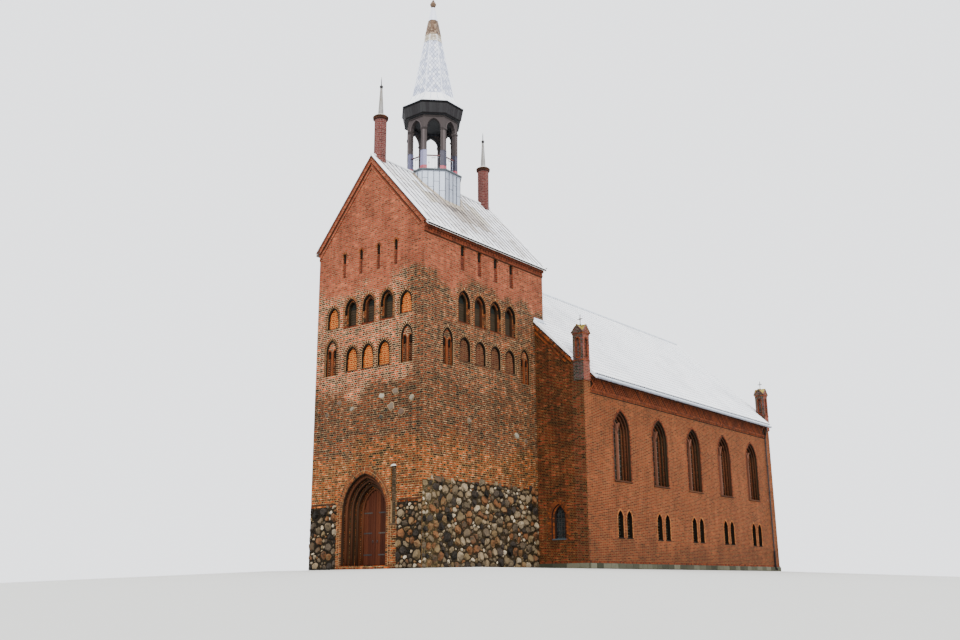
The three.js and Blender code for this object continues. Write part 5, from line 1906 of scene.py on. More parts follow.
    def build_rails(self) -> None:
        """Builds the thin red rail between the posts, with its pale rods and small iron ornaments."""
        rails, rods, iron = Shell(SEED + 58), Shell(SEED + 59), Shell(SEED + 63)
        line = self.rail_line
        for k in range(8):
            plane = self.facet(k, self.arcade)
            rails.block(plane, (-0.36, 0.36), (20.75, 20.808), (line - 0.027, line + 0.027), bevel=0.008)
            for a in (-0.24, -0.08, 0.08, 0.24):
                rods.sweep([plane.at(a, z, line) for z in (19.94, 20.35, 20.76)], 0.007, 6)
            rods.sweep([plane.at(a, 20.68, line) for a in (-0.35, 0.0, 0.35)], 0.005, 6)
            iron.sweep([plane.at(a, 20.64, line) for a in (-0.1, 0.0, 0.1)], 0.016, 6)
            iron.sweep([plane.at(-0.24, z, line) for z in (20.32, 20.36, 20.42)], 0.018, 6)
            iron.sweep([plane.at(a, 20.12, line) for a in (0.05, 0.09, 0.14)], 0.014, 6)
        rails.piece("lantern_rails", self.stock.of(DARK_RED_PAINT), "timber")
        rods.piece("lantern_rail_rods", self.stock.of(ZINC), "zinc")
        iron.piece("lantern_rail_ornaments", self.stock.of(IRON), "iron")

    def build_cornice(self) -> None:
        """Builds the cornice's leaning boards between two nearly black edges."""
        self.stock.dress(BLUE_BOARD, "lantern_cornice")
        edges, boards = Shell(SEED + 60), Shell(SEED + 61)
        for low, high, z0, z1 in ((1.575, 1.585, 23.05, 23.12), (1.675, 1.715, 23.63, 23.73)):
            edge = [(low - 0.1, z0), (low, z0 + 0.008), (high, z1 - 0.02), (high - 0.02, z1)]
            edges.turned(edge, 0, self.middle, 8, HALF_SIDE, tone=0.0)
        width = 2 / self.boards
        for k in range(8):
            for i in range(self.boards):
                share = (-1 + i * width + 0.008, -1 + (i + 1) * width - 0.008)
                tone = boards.chance.uniform(0.55, 1.0)
                self.panel(boards, k, share, [(1.576, 23.12), (1.684, 23.63)], 0.03, tone)
        edges.piece("lantern_cornice_edges", self.stock.of(TARRED_AND_SHADE_BOARD), "dark_timber")
        boards.piece("lantern_cornice_boards", self.stock.of(TARRED_AND_SHADE_BOARD), "dark_timber")


def bend(before: Corner, corner: Corner, after: Corner) -> float:
    """Gives how far an outline turns left at a corner.

    Args:
        before: the corner before it.
        corner: the corner.
        after: the corner after it.

    Returns:
        The area spanned by the edges on both sides of the corner, 0 where it lies on a straight line.
    """
    ax, ay = corner[0] - before[0], corner[1] - before[1]
    return ax * (after[1] - corner[1]) - ay * (after[0] - corner[0])


@dataclass
class Spire:
    """The needle spire: flared skirt, diamond shingles, gilded band and pale tip under the cross."""

    stock: Stock
    middle: float = SPIRE_MIDDLE
    foot: float = 24.45
    cream_foot: float = 27.87
    gold_foot: float = 28.36
    gold_top: float = 29.29
    lean: float = 0.193
    shingle_half: float = 0.098
    row: float = 0.15
    cross_arm: float = 31.425

    def build(self) -> None:
        """Builds the spire from its skirt up to the cross."""
        self.build_skirt()
        self.build_shingles()
        self.build_gilding()
        self.build_cross()

    def radius(self, height: float) -> float:
        """Gives the corner radius of the tapering part at a height."""
        return 1.19 - self.lean * (height - 24.43)

    def side(self, k: int) -> Plane:
        """Gives the leaning plane of one side.

        Args:
            k: number of the side, counted from the one that faces right.

        Returns:
            The plane; across is measured from the side's middle, up along the slope from the foot.
        """
        angle = k * math.tau / 8
        outward = Vector((math.cos(angle), math.sin(angle), 0))
        lean = self.lean * math.cos(HALF_SIDE)
        origin = at(0, self.middle, self.foot) + outward * (self.radius(self.foot) * math.cos(HALF_SIDE))
        up = (Z - outward * lean).normalized()
        return Plane(origin, Vector((-outward.y, outward.x, 0)), up, (outward + Z * lean).normalized())

    def climb(self, height: float) -> float:
        """Gives the distance up the slope to a height."""
        return (height - self.foot) * math.sqrt(1 + (self.lean * math.cos(HALF_SIDE)) ** 2)

    def build_skirt(self) -> None:
        """Builds the flared sheet skirt with a seam on each corner and two on each side."""
        sheets, seams = Shell(SEED + 71), Shell(SEED + 70)
        profile = [
            (1.753, 23.79), (1.632, 23.885), (1.494, 24.005), (1.4, 24.11), (1.314, 24.215), (1.26, 24.32),
            (1.206, 24.45),
        ]
        sheets.turned([(1.72, 23.735), (1.75, 23.745)] + profile, 0, self.middle, 8, HALF_SIDE, tone=0.95)
        for u, v in turns(8, math.tau / 8):
            for share in (-1.0, -0.34, 0.34):
                path = []
                for r, z in profile:
                    out, side = r * math.cos(HALF_SIDE), share * r * math.sin(HALF_SIDE)
                    path.append(at(out * u - side * v, self.middle + out * v + side * u, z))
                seams.sweep(path, 0.012, 6, tone=0.7)
        sheets.piece("spire_skirt", self.stock.of(RIBBED_SHEET), "zinc")
        seams.piece("spire_skirt_seams", self.stock.of(ZINC), "zinc")

    def shingle(self, shell: Shell, plane: Plane, a: float, b: float) -> None:
        """Adds one diamond, cut off at the spire's corners and at the foot and head of the shingles.

        Args:
            shell: the shell to add to.
            plane: the side of the spire.
            a: place of its middle across the side.
            b: place of its middle up the side.
        """
        length = self.climb(self.cream_foot + 0.08)
        tips = ((0, -self.row, 0.022), (self.shingle_half, 0, 0.012), (0, self.row, 0.003),
                (-self.shingle_half, 0, 0.012))
        corners = []
        for da, db, lift in tips:
            up = min(max(b + db * 0.93, 0.0), length)
            limit = self.radius(self.foot + up * 0.984) * math.sin(HALF_SIDE)
            corners.append((max(-limit, min(limit, a + da * 0.93)), up, lift))
        # Corners that the cut has laid on a straight line fall away
        kept = []
        for n, corner in enumerate(corners):
            if bend(corners[n - 1], corner, corners[(n + 1) % 4]) > 1e-4:
                kept.append(corner)
        if len(kept) >= 3:
            back = [plane.at(p, q, -0.006) for p, q, _ in kept]
            shell.loft([back, [plane.at(*corner) for corner in kept]])

    def build_shingles(self) -> None:
        """Builds the diamond shingles of all eight sides and the rolls on the corners."""
        self.stock.dress(UNDERLAY, "spire_lower")
        shell = Shell(SEED + 72)
        rows = int(self.climb(self.cream_foot + 0.08) / self.row) + 1
        for k, (u, v) in enumerate(turns(8, math.tau / 8, HALF_SIDE)):
            plane = self.side(k)
            for r in range(rows):
                for i in range(-6, 7):
                    self.shingle(shell, plane, (2 * i + r % 2) * self.shingle_half, r * self.row)
            ends = []
            for z in (self.foot - 0.01, self.gold_foot):
                radius = self.radius(z) + 0.006
                ends.append(at(radius * u, self.middle + radius * v, z))
            shell.sweep(ends, 0.02, 8, tone=0.95)
        shell.piece("spire_diamond_shingles", self.stock.of(SHINGLE), "shingle")

    def scales(self, shell: Shell, span: Span, rise: float, base: float) -> None:
        """Adds rows of round-ended scales on all sides.

        Args:
            shell: the shell to add to.
            span: heights between which the rows lie.
            rise: from one row to the next.
            base: how far out from the slope they lie.
        """
        for k in range(8):
            plane = self.side(k)
            for r in range(round((span[1] - span[0]) / rise)):
                b = self.climb(span[0]) + r * rise
                limit = (self.radius(span[0] + r * rise) + base) * math.sin(HALF_SIDE)
                count = 3 if limit > 0.13 else 2
                for i in range(count):
                    mid = (-1 + (2 * i + 1) / count) * limit
                    w = limit / count * 0.94
                    foot = [(mid - w, b + 0.03), (mid - w * 0.55, b - 0.01), (mid, b - 0.024),
                            (mid + w * 0.55, b - 0.01), (mid + w, b + 0.03)]
                    scale = [(mid - w, b + rise * 1.05)] + foot + [(mid + w, b + rise * 1.05)]
                    shell.loft([[plane.at(a, q, base - 0.008) for a, q in scale],
                                [plane.at(a, q, base + 0.026 - 0.12 * (q - b)) for a, q in scale]])

    def build_gilding(self) -> None:
        """Builds the cream scales, the gilded band above them with its beads, and the pale tip."""
        self.stock.dress(GILT, "spire_upper", "spire_finial")
        cream, gold, tip = Shell(SEED + 76), Shell(SEED + 73), Shell(SEED + 74)
        self.scales(cream, (self.cream_foot + 0.03, self.gold_foot - 0.02), 0.12, 0.006)
        cream.piece("spire_cream_scales", self.stock.of(CREAM_SHEET), "gilt")
        self.scales(gold, (self.gold_foot, self.gold_top - 0.06), 0.11, 0.018)
        bead = ((-0.03, -0.03), (0.0, -0.015), (0.006, 0.0), (0.0, 0.015), (-0.03, 0.03))
        for z, out in ((self.gold_foot - 0.01, 0.045), (self.gold_top, 0.036)):
            r = self.radius(z) + out
            gold.turned([(r + wide, z + lift) for wide, lift in bead], 0, self.middle, 8, HALF_SIDE)
        gold.piece("spire_gilded_scales", self.stock.of(GILT), "gilt")
        line = [(0.254, 29.325), (0.202, 29.6), (0.145, 29.9), (0.087, 30.19), (0.07, 30.215)]
        tip.turned([(0.23, 29.31)] + line, 0, self.middle, 8, HALF_SIDE, tone=0.8)
        for u, v in turns(8, math.tau / 8, HALF_SIDE):
            tip.sweep([at(r * u, self.middle + r * v, z) for r, z in line[:4]], 0.009, 6)
        tip.piece("spire_tip", self.stock.of(SHINGLE), "shingle")

    def build_cross(self) -> None:
        """Builds the collar of the ball and the scrolls and knobs of the cross."""
        shell = Shell(SEED + 75)
        y, arm = self.middle, self.cross_arm
        shell.turned([(0.05, 30.17), (0.095, 30.19), (0.1, 30.21), (0.07, 30.23)], 0, y, 16)
        shell.turned([(0.05, 30.54), (0.07, 30.56), (0.07, 30.6), (0.03, 30.66), (0.02, 30.7)], 0, y, 16)
        for sign in (1, -1):
            scroll = []
            for k in range(11):
                t = k / 10
                scroll.append(at(sign * (0.02 + 0.13 * t * math.sin(2.4 * t)), y, arm - 0.005 - 0.26 * t))
            shell.sweep(scroll, 0.012, 6)
            shell.sweep([at(sign * x, y, arm) for x in (0.325, 0.34, 0.36, 0.37)], 0.03, 8)
            for way in (1, -1):
                arc = [at(sign * 0.16 * u, y, arm + way * 0.16 * v) for u, v in turns(9, math.pi / 16)]
                shell.sweep(arc, 0.009, 6)
        shell.piece("spire_cross_scrolls", self.stock.of(GILT), "gilt")


@dataclass
class NaveWindows:
    """The nave's tall stepped windows, the lancets below them and the two small front windows."""

    stock: Stock
    sill: float = 4.3
    spring: float = 6.726
    centre: float = 0.415
    course: float = NAVE_COURSE
    brick: float = 0.075
    glass_half: float = 0.44
    lancet_reach: float = 0.433

    def build(self) -> None:
        """Builds the tall windows, the lancets below them and the front windows."""
        self.build_tall()
        self.build_lancets()
        self.build_front()

    @staticmethod
    def bays() -> list[tuple[str, Plane, list[float]]]:
        """The walls with bays.

        Returns:
            A label, the plane and the middles of its bays, for each wall.
        """
        sides = [11.95 + 3.996 * i for i in range(5)]
        return [
            ("right", Side.RIGHT.plane(NAVE_HALF), sides),
            ("left", Side.LEFT.plane(NAVE_HALF), sides),
            ("rear", Side.REAR.plane(NAVE_REAR), [-3.2, 0.0, 3.2]),
        ]

    def tall(self, middle: float, half: float) -> Arch:
        """The arch of one step of a tall window."""
        return Arch(middle, half, self.centre, self.sill, self.spring)

    def build_tall(self) -> None:
        """Builds the tall windows' rings, rolls, sills, mullions, tracery and glazing bars."""
        self.stock.dress(
            GLASS, "nave_right_upper_glass", "nave_left_upper_glass", "nave_rear_upper_glass",
            "nave_right_lower_glass", "nave_left_lower_glass", "nave_rear_lower_glass")
        self.stock.dress(SKY_GLASS, "nave_front_right_glass", "nave_front_left_glass")
        drops = ((0.1, -0.345), (0.006, 0.05), (-0.05, 0.054), (-0.062, 0.045), (-0.07, -0.02),
                 (-0.07, -0.345))
        sill = [(self.sill + b, out) for b, out in drops]
        for n, (label, plane, middles) in enumerate(self.bays()):
            ring, rolls, sills, stone, lead, deep = (Shell(SEED + n + i) for i in (81, 84, 87, 90, 93, 77))
            for middle in middles:
                trim = ArchTrim(ring, plane)
                outer = self.tall(middle, 0.83)
                trim.ring(outer.grown(-0.016), 0.1, (-0.1, 0.012), brick=self.brick)
                trim.jambs(outer.grown(-0.004), 0.09, (-0.1, 0.008), self.course)
                # The reveal strip and stepped reveals are dark with damp and painted shade
                trim = ArchTrim(deep, plane)
                trim.strip(outer.grown(-0.05), 0.045, (-0.11, -0.012))
                for half, depth in ((0.7, -0.11), (0.57, -0.22)):
                    step = self.tall(middle, half)
                    trim.ring(step.grown(-0.016), 0.11, (depth - 0.08, depth + 0.01), brick=self.brick)
                    trim.jambs(step.grown(-0.004), 0.1, (depth - 0.08, depth + 0.006), self.course)
                trim = ArchTrim(rolls, plane)
                for half, depth in ((0.7, -0.105), (0.57, -0.215), (self.glass_half, -0.325)):
                    trim.roll(self.tall(middle, half), 0.036, depth, steps=10)
                sills.sloped(plane, (middle - 0.86, middle + 0.86), sill)
                self.tracery(stone, plane, middle)
                self.leads(lead, plane, self.tall(middle, self.glass_half), 0.22, 0.27, -0.335, skip=0.05)
            ring.piece(f"nave_{label}_window_arches", self.stock.of(MOULDED_BRICK), "nave_brick")
            deep.piece(f"nave_{label}_window_reveals", self.stock.of(REVEAL_BRICK), "nave_brick")
            rolls.piece(f"nave_{label}_window_rolls", self.stock.of(REVEAL_BRICK), "nave_brick", smooth=True)
            sills.piece(f"nave_{label}_window_sills", self.stock.of(SILL_CEMENT), "plinth_stone")
            stone.piece(f"nave_{label}_window_mullions", self.stock.of(MULLION), "nave_brick")
            lead.piece(f"nave_{label}_window_bars", self.stock.of(LEAD), "iron")

    def tracery(self, shell: Shell, plane: Plane, middle: float) -> None:
        """Adds the middle mullion and the two curved bars that branch from it.

        Args:
            shell: the shell to add to.
            plane: the wall's face.
            middle: the middle of the window.
        """
        back, front = -0.345, -0.235
        for inset, out in ((0.042, 0.0), (0.024, 0.03)):
            ends = (middle - inset, middle + inset)
            shell.block(plane, ends, (self.sill + 0.08, self.spring), (back, front + out), bevel=0.012)
        radius = self.glass_half + self.centre
        ways = turns(9, math.acos((radius - 0.22) / radius) / 8)
        for sign in (1, -1):
            for width, out in ((0.036, 0.0), (0.02, 0.03)):
                line = []
                for r, order in ((radius + width, ways), (radius - width, reversed(ways))):
                    line += [(middle + sign * (radius - r * u), self.spring + r * v) for u, v in order]
                shell.slab(plane, line, (back, front + out))

    def leads(
        self, shell: Shell, plane: Plane, arch: Arch, across: float, rise: float, depth: float,
        skip: float = 0.0,
    ) -> None:
        """Adds the glazing bars of one opening.

        Args:
            shell: the shell to add to.
            plane: the wall's face.
            arch: the opening.
            across: distance between upright bars, none where it is 0.
            rise: distance between level bars.
            depth: where the bars stand.
            skip: half width at the middle without upright bars, for a mullion.
        """
        height = arch.sill + rise
        while height < arch.apex - 0.08:
            half = arch.width_at(height) - 0.004
            ends, bar = (arch.middle - half, arch.middle + half), (height - 0.009, height + 0.009)
            shell.block(plane, ends, bar, (depth - 0.012, depth + 0.01), bevel=0.003)
            height += rise
        count = int(arch.half / across) if across else -1
        for i in range(-count, count + 1):
            reach = i * across
            if abs(reach) < skip or abs(reach) > arch.half - 0.02:
                continue
            place = arch.middle + reach
            top = arch.top_at(reach) - 0.01
            bar = (place - 0.007, place + 0.007)
            shell.block(plane, bar, (arch.sill, top), (depth - 0.012, depth + 0.006), bevel=0.002)

    def build_lancets(self) -> None:
        """Builds the lancets' pale surrounds, sills and bars, on the sides and the rear."""
        sill = [(1.54, -0.205), (1.505, 0.02), (1.46, 0.02), (1.46, -0.205)]
        for n, (label, plane, middles) in enumerate(self.bays()):
            pale, bars, dark = (Shell(SEED + n + i) for i in (96, 99, 65))
            trim, reveal = ArchTrim(pale, plane), ArchTrim(dark, plane)
            for place in [m + side * self.lancet_reach for m in middles for side in (-1, 1)]:
                arch = Arch(place, 0.27, 0.18, 1.5, 2.43)
                trim.ring(arch.grown(-0.004), 0.08, (-0.04, 0.01), brick=self.brick)
                trim.jambs(arch.grown(-0.003), 0.07, (-0.04, 0.006), self.course)
                # A nearly black strip in the reveal and the dark sill below paint the reveal's shade
                reveal.strip(arch.grown(-0.014), 0.013, (-0.2, -0.012))
                dark.sloped(plane, (place - 0.29, place + 0.29), sill)
                self.leads(bars, plane, arch, 0.0, 0.15, -0.19)
                bars.block(plane, (place - 0.012, place + 0.012), (1.5, 2.78), (-0.2, -0.175), bevel=0.003)
            pale.piece(f"nave_{label}_lancet_surrounds", self.stock.of(PALE_BRICK), "nave_brick")
            dark.piece(f"nave_{label}_lancet_reveals", self.stock.of(SHADOW_BRICK), "nave_brick")
            bars.piece(f"nave_{label}_lancet_bars", self.stock.of(LEAD), "iron")

    def build_front(self) -> None:
        """Builds the surrounds, sills and bars of the two small windows beside the tower."""
        plane = Side.FRONT.plane(NAVE_FRONT)
        pale, bars, sills, deep = (Shell(SEED + i) for i in (102, 103, 104, 105))
        trim, reveal = ArchTrim(pale, plane), ArchTrim(deep, plane)
        sill = [(1.45, -0.25), (1.4, 0.03), (1.36, 0.03), (1.36, -0.25)]
        for middle in (-4.69, 4.69):
            outer = Arch(middle, 0.56, 0.3, 1.39, 2.38)
            narrow = Arch(middle, 0.44, 0.3, 1.39, 2.4)
            inner = Arch(middle, 0.33, 0.3, 1.39, 2.44)
            trim.ring(outer.grown(-0.01), 0.11, (-0.08, 0.012), brick=self.brick)
            trim.jambs(outer.grown(-0.004), 0.1, (-0.08, 0.008), self.course)
            trim.ring(narrow, 0.13, (-0.12, -0.006), brick=self.brick)
            trim.jambs(narrow, 0.118, (-0.12, -0.008), self.course)
            trim.ring(inner.grown(-0.006), 0.12, (-0.2, -0.1), brick=self.brick)
            trim.jambs(inner.grown(-0.004), 0.12, (-0.2, -0.104), self.course)
            # Dark strips in both reveals paint their shade
            reveal.strip(narrow.grown(-0.012), 0.011, (-0.1, -0.012))
            reveal.strip(inner.grown(-0.045), 0.043, (-0.24, -0.12))
            sills.sloped(plane, (middle - 0.4, middle + 0.4), sill, tone=0.4)
            self.leads(bars, plane, inner, 0.16, 0.2, -0.245)
        pale.piece("nave_front_window_surrounds", self.stock.of(OLD_MOULDED), "nave_brick")
        deep.piece("nave_front_window_reveals", self.stock.of(BLACK_REVEAL), "nave_brick")
        sills.piece("nave_front_window_sills", self.stock.of(SLATE_PAINT), "plinth_stone")
        bars.piece("nave_front_window_bars", self.stock.of(LEAD), "iron")


@dataclass
class NaveWalls:
    """The nave's walls: lattice frieze, eaves courses, raking courses and plinth."""

    stock: Stock
    half: float = NAVE_HALF
    front: float = NAVE_FRONT
    rear: float = NAVE_REAR
    gable_peak: float = 15.71
    tower_reach: float = 3.56
    frieze_low: float = 8.642
    frieze_high: float = 9.178
    lattice_width: float = 0.062
    lattice_pitch: float = 0.19

    def build(self) -> None:
        """Builds the brickwork of the eaves and gables, then the plinth."""
        self.dress_walls()
        self.build_frieze()
        self.build_rakes()
        self.build_plinth()

    def dress_walls(self) -> None:
        """Gives the nave's carried-over walls and plinth their finishes."""
        self.stock.dress(PRESSED_BRICK, "nave_right_wall", "nave_left_wall", "nave_rear_wall")
        self.stock.dress(
            TURRET_BRICK, "front_right_turret", "front_left_turret", "rear_right_turret", "rear_left_turret")
        self.stock.dress(SHADED_FRONT_BRICK, "nave_front_right_wall", "nave_front_left_wall")
        self.stock.dress(PLINTH_STONE, "nave_plinth")

    def lattice(self, shell: Shell, plane: Plane, ends: Span, lean: int, front: float) -> None:
        """Adds the strips of the frieze that lean one way.

        Args:
            shell: the shell to add to.
            plane: the wall's face.
            ends: where the frieze starts and ends across the face.
            lean: 1 where the strips climb to the rear, -1 where they climb to the front.
            front: how far out from the face they end.
        """
        low, high = self.frieze_low, self.frieze_high
        rise = high - low
        wide = self.lattice_width * math.sqrt(2)
        start = ends[0] - rise
        while start < ends[1]:
            foot = start if lean > 0 else start + rise
            head = foot + lean * rise
            start += self.lattice_pitch
            if min(foot, head) >= ends[0] and max(foot, head) + wide <= ends[1]:
                strip = [(foot, low), (foot + wide, low), (head + wide, high), (head, high)]
                shell.slab(plane, strip, (-0.07, front))

    def build_frieze(self) -> None:
        """Builds the crossed brick strips of the frieze and the courses above and below it."""
        ends = (9.12, 30.5)
        # Each course: its lower and upper edge, its back and front, length of a brick, joint
        courses = [
            (8.553, 8.637, 0.0, 0.036, 0.12, JOINT), (9.183, 9.237, 0.0, 0.036, 0.25, JOINT),
            (9.243, 9.306, 0.0, 0.116, 0.12, JOINT), (8.44, 8.545, -0.02, 0.022, 0.06, 0.06),
        ]
        for label, side in (("right", Side.RIGHT), ("left", Side.LEFT)):
            plane = side.plane(self.half)
            shell, back = Shell(SEED + 111), Shell(SEED + 110)
            for lean, front in ((1, -0.008), (-1, -0.005)):
                self.lattice(shell, plane, (9.16, 30.47), lean, front)
            # A dark backing behind the lattice and a dark line under the courses paint their shade
            back.block(plane, (9.15, 30.48), (8.645, 9.175), (-0.08, -0.06))
            back.block(plane, ends, (8.4, 8.44), (-0.02, 0.012))
            back.piece(f"nave_{label}_frieze_back", self.stock.of(SHADOW_BRICK), "nave_brick")
            for low, high, inner, outer, brick, gap in courses:
                shell.run(plane, ends, (low, high), (inner, outer), brick, gap)
            shell.piece(f"nave_{label}_frieze", self.stock.of(MOULDED_BRICK), "nave_brick")

    def build_rakes(self) -> None:
        """Builds the raking courses of the front and rear gables."""
        shell = Shell(SEED + 112)
        drop = math.cos(math.atan(NAVE_FALL))
        for side, where in ((Side.FRONT, self.front), (Side.REAR, self.rear)):
            first = self.tower_reach / drop if side is Side.FRONT else 0.1
            for sign in (1, -1):
                plane = side.rake(where, self.gable_peak, NAVE_FALL, sign)
                shell.run(plane, (first, 5.8 / drop), (-0.215 * drop, -0.012), (0.0, 0.056), 0.12)
                shell.run(plane, (first, 5.6 / drop), (-0.5 * drop, -0.38 * drop), (0.0, 0.036), 0.25)
        shell.piece("nave_raking_courses", self.stock.of(OLD_MOULDED), "nave_brick")

    def build_plinth(self) -> None:
        """Builds the plinth's granite blocks and the course of bricks on edge above them."""
        blocks, course = Shell(SEED + 113), Shell(SEED + 114)
        front = Side.FRONT.plane(self.front)
        runs = [
            (Side.RIGHT.plane(self.half), self.front, self.rear),
            (Side.LEFT.plane(self.half), self.front, self.rear),
            (front, self.tower_reach, self.half), (front, -self.half, -self.tower_reach),
            (Side.REAR.plane(self.rear), -self.half, self.half),
        ]
        for plane, start, stop in runs:
            place = start
            while place < stop - 0.05:
                length = min(blocks.chance.uniform(0.5, 0.85), stop - place)
                if stop - place - length < 0.3:
                    length = stop - place
                out = 0.066 + blocks.chance.uniform(0.0, 0.02)
                top = 0.252 + blocks.chance.uniform(0, 0.01)
                ends = (place + 0.006, place + length - 0.006)
                blocks.block(plane, ends, (0.0, top), (0.01, out), bevel=0.018)
                place += length
            course.run(plane, (start, stop), (0.262, 0.34), (-0.02, 0.03), 0.065)
        blocks.piece("nave_plinth_blocks", self.stock.of(PLINTH_STONE), "plinth_stone")
        course.piece("nave_plinth_course", self.stock.of(MOULDED_BRICK), "nave_brick")


@dataclass
class NaveRoof:
    """The nave's roof of pressed tile sheet, with ridge roll, verges, gutters and downpipes."""

    stock: Stock
    half: float = 6.7
    ridge: float = 15.89
    fall: float = NAVE_FALL
    front: float = 8.49
    rear: float = 31.14
    rib: float = 0.2
    course: float = 0.34
    ribs_a_sheet: int = 5
    camber: float = 0.004
    turret_front: float = 9.1
    turret_rear: float = 30.53
    turret_half: float = 5.82
    tower_rear: float = 9.35
    gutter: float = 6.79
    gutter_height: float = 9.2

    def build(self) -> None:
        """Builds the roof's sheets, then its edges."""
        self.build_sheets()
        self.build_edges()

    @property
    def past_turret(self) -> float:
        """How far up the slope the turrets reach."""
        return (self.half - self.turret_half) * self.slope(1).stretch

    @property
    def past_tower(self) -> float:
        """How far up the slope the tower's side starts."""
        return (self.half - TOWER_HALF - 0.01) * self.slope(1).stretch

    def slope(self, sign: int) -> RoofSlope:
        """One side of the roof; its plane's across starts at the tower's front face."""
        return RoofSlope(sign, self.half, self.ridge, self.fall, 0.0)

    def sheet(self, shell: Shell, plane: Plane, a: Span, b: Span) -> None:
        """Adds one sheet with ribs and stepped courses.

        Args:
            shell: the shell to add to.
            plane: the slope's upper face.
            a: where the sheet starts and ends along the roof.
            b: where it starts and ends up the slope.
        """
        count = max(1, round((a[1] - a[0]) / self.rib))
        pitch = (a[1] - a[0]) / count
        rib = ((0.0, 0.0), (0.26, 0.0), (0.42, 0.026), (0.56, 0.034), (0.7, 0.026))
        across = [(i + share, lift) for i in range(count) for share, lift in rib] + [(count, 0.0)]
        bow = 4 * self.camber / count**2
        across = [(a[0] + spot * pitch, lift + bow * spot * (count - spot)) for spot, lift in across]
        steps = [b[0]]
        mark = math.floor(b[0] / self.course + 1.02) * self.course
        while mark < b[1] - 0.02:
            steps.append(mark)
            mark += self.course
        steps.append(b[1])
        shade = shell.chance.uniform(0.7, 0.95)
        rings = []
        for low, high in zip(steps, steps[1:]):
            for spot, lift, under in ((low, 0.024, low + 0.01), (high, 0.004, high)):
                ring = [plane.at(x, spot, lift + rise) for x, rise in across]
                rings.append(ring + [plane.at(a[1], under, -0.012), plane.at(a[0], under, -0.012)])
        # The falling side of each rib and each step's riser take dark tones that paint their shade
        shell.loft(rings, lambda ring, side: 0.0 if side % 5 == 4 else 0.1 if ring % 2 else shade)

    def build_sheets(self) -> None:
        """Builds the sheets, cut round the tower and the turrets."""
        self.stock.dress(RIBBED_SHEET, "nave_right_roof", "nave_left_roof")
        turret, tower = self.past_turret, self.past_tower
        count = round((self.turret_rear - self.tower_rear) / (self.rib * self.ribs_a_sheet))
        width = (self.turret_rear - self.tower_rear) / count
        for label, sign in (("right", 1), ("left", -1)):
            slope = self.slope(sign)
            plane, top = slope.plane, slope.length - 0.01
            shell = Shell(SEED + 121 + sign)
            self.sheet(shell, plane, (self.front, self.turret_front), (turret, tower))
            self.sheet(shell, plane, (self.turret_front, self.tower_rear), (-0.05, tower))
            self.sheet(shell, plane, (self.turret_rear, self.rear), (turret, top))
            for i in range(count):
                start = self.tower_rear + i * width
                self.sheet(shell, plane, (start, start + width), (-0.05, top))
            shell.piece(f"nave_{label}_roof_sheets", self.stock.of(RIBBED_SHEET), "ribbed_sheet")

    def build_edges(self) -> None:
        """Builds the ridge roll, the verge boards, the flashing along the tower and the gutters."""
        bright, dark, board = Shell(SEED + 124), Shell(SEED + 125), Shell(SEED + 126)
        top = self.ridge + 0.03
        bright.sweep([at(0, 9.36 + i * 0.725, top) for i in range(31)], 0.085, 10, tone=0.35)
        for i in range(30):
            y = 9.4 + i * 0.725
            bright.sweep([at(0, y, top), at(0, y + 0.05, top)], 0.094, 10, tone=0.75)
        lift = self.ridge - self.fall * TOWER_HALF
        flashing = [(-0.02, -0.01), (0.16, -0.01), (0.16, 0.012), (0.04, 0.03), (-0.06, 0.16), (-0.1, 0.14)]
        for sign in (1, -1):
            slope = self.slope(sign)
            self.verge(bright, dark, slope.plane, self.front, 1, (self.past_turret, self.past_tower))
            self.verge(bright, dark, slope.plane, self.rear, -1, (self.past_turret, slope.length))
            seam = (self.past_tower - 0.03, slope.length)
            bright.block(slope.plane, (9.34, 9.42), seam, (0.0, 0.07), tone=0.5, bevel=0.01)
            wall = SIDES[sign].plane(TOWER_HALF)
            bright.sloped(wall, (self.front + 0.02, 9.4), [(lift + b, out) for b, out in flashing], tone=0.3)
            self.hang_gutter(board, sign)
            self.downpipe(dark, sign)
        bright.piece("nave_roof_edge_strips", self.stock.of(RIBBED_SHEET), "zinc")
        board.piece("nave_gutters_and_verges", self.stock.of(ZINC), "zinc")
        dark.piece("nave_verge_boards", self.stock.of(TARRED_AND_SHADE_BOARD), "dark_timber")

    def verge(self, bright: Shell, dark: Shell, plane: Plane, edge: float, inward: int, climb: Span) -> None:
        """Adds the strips along one raking edge of the roof, and the dark board under them that paints their
        shadow line.

        Args:
            bright: the shell of the strips.
            dark: the shell of the board.
            plane: the slope's upper face.
            edge: where the edge lies along the roof.
            inward: 1 where the roof goes on to the rear, -1 where it goes on to the front.
            climb: where the strips start and end up the slope.
        """
        # Each layer: how far it starts and ends inward from the roof's edge, its heights, tone, chamfer
        layers = (
            (bright, -0.03, 0.09, 0.0, 0.062, 0.9, 0.012), (bright, -0.03, -0.002, -0.07, 0.0, 0.8, 0.005),
            (dark, -0.025, 0.01, -0.12, -0.06, 0.1, 0.0),
        )
        for shell, near, far, low, high, tone, bevel in layers:
            start, stop = mirrored(inward, near, far)
            shell.block(plane, (edge + start, edge + stop), climb, (low, high), tone, bevel)

    def hang_gutter(self, shell: Shell, sign: int) -> None:
        """Adds the half-round gutter of one side and its brackets.

        Args:
            shell: the shell to add to.
            sign: which side, 1 for the right one and -1 for the left one.
        """
        x, z = sign * self.gutter, self.gutter_height
        outside = [(u * 0.085, v * 0.085) for u, v in turns(9, math.pi / 8, math.pi)]
        section = outside + [(p * 0.82, q * 0.82 + 0.004) for p, q in reversed(outside)]
        shell.loft([[at(x + p, y, z + q) for p, q in section] for y in (9.12, 30.52)], tone=0.5)
        for i in range(22):
            arm = [at(x + 0.092 * u, 9.4 + i, z + 0.092 * v) for u, v in turns(7, math.pi / 6, math.pi)]
            shell.sweep(arm, 0.008, 5, tone=0.3)

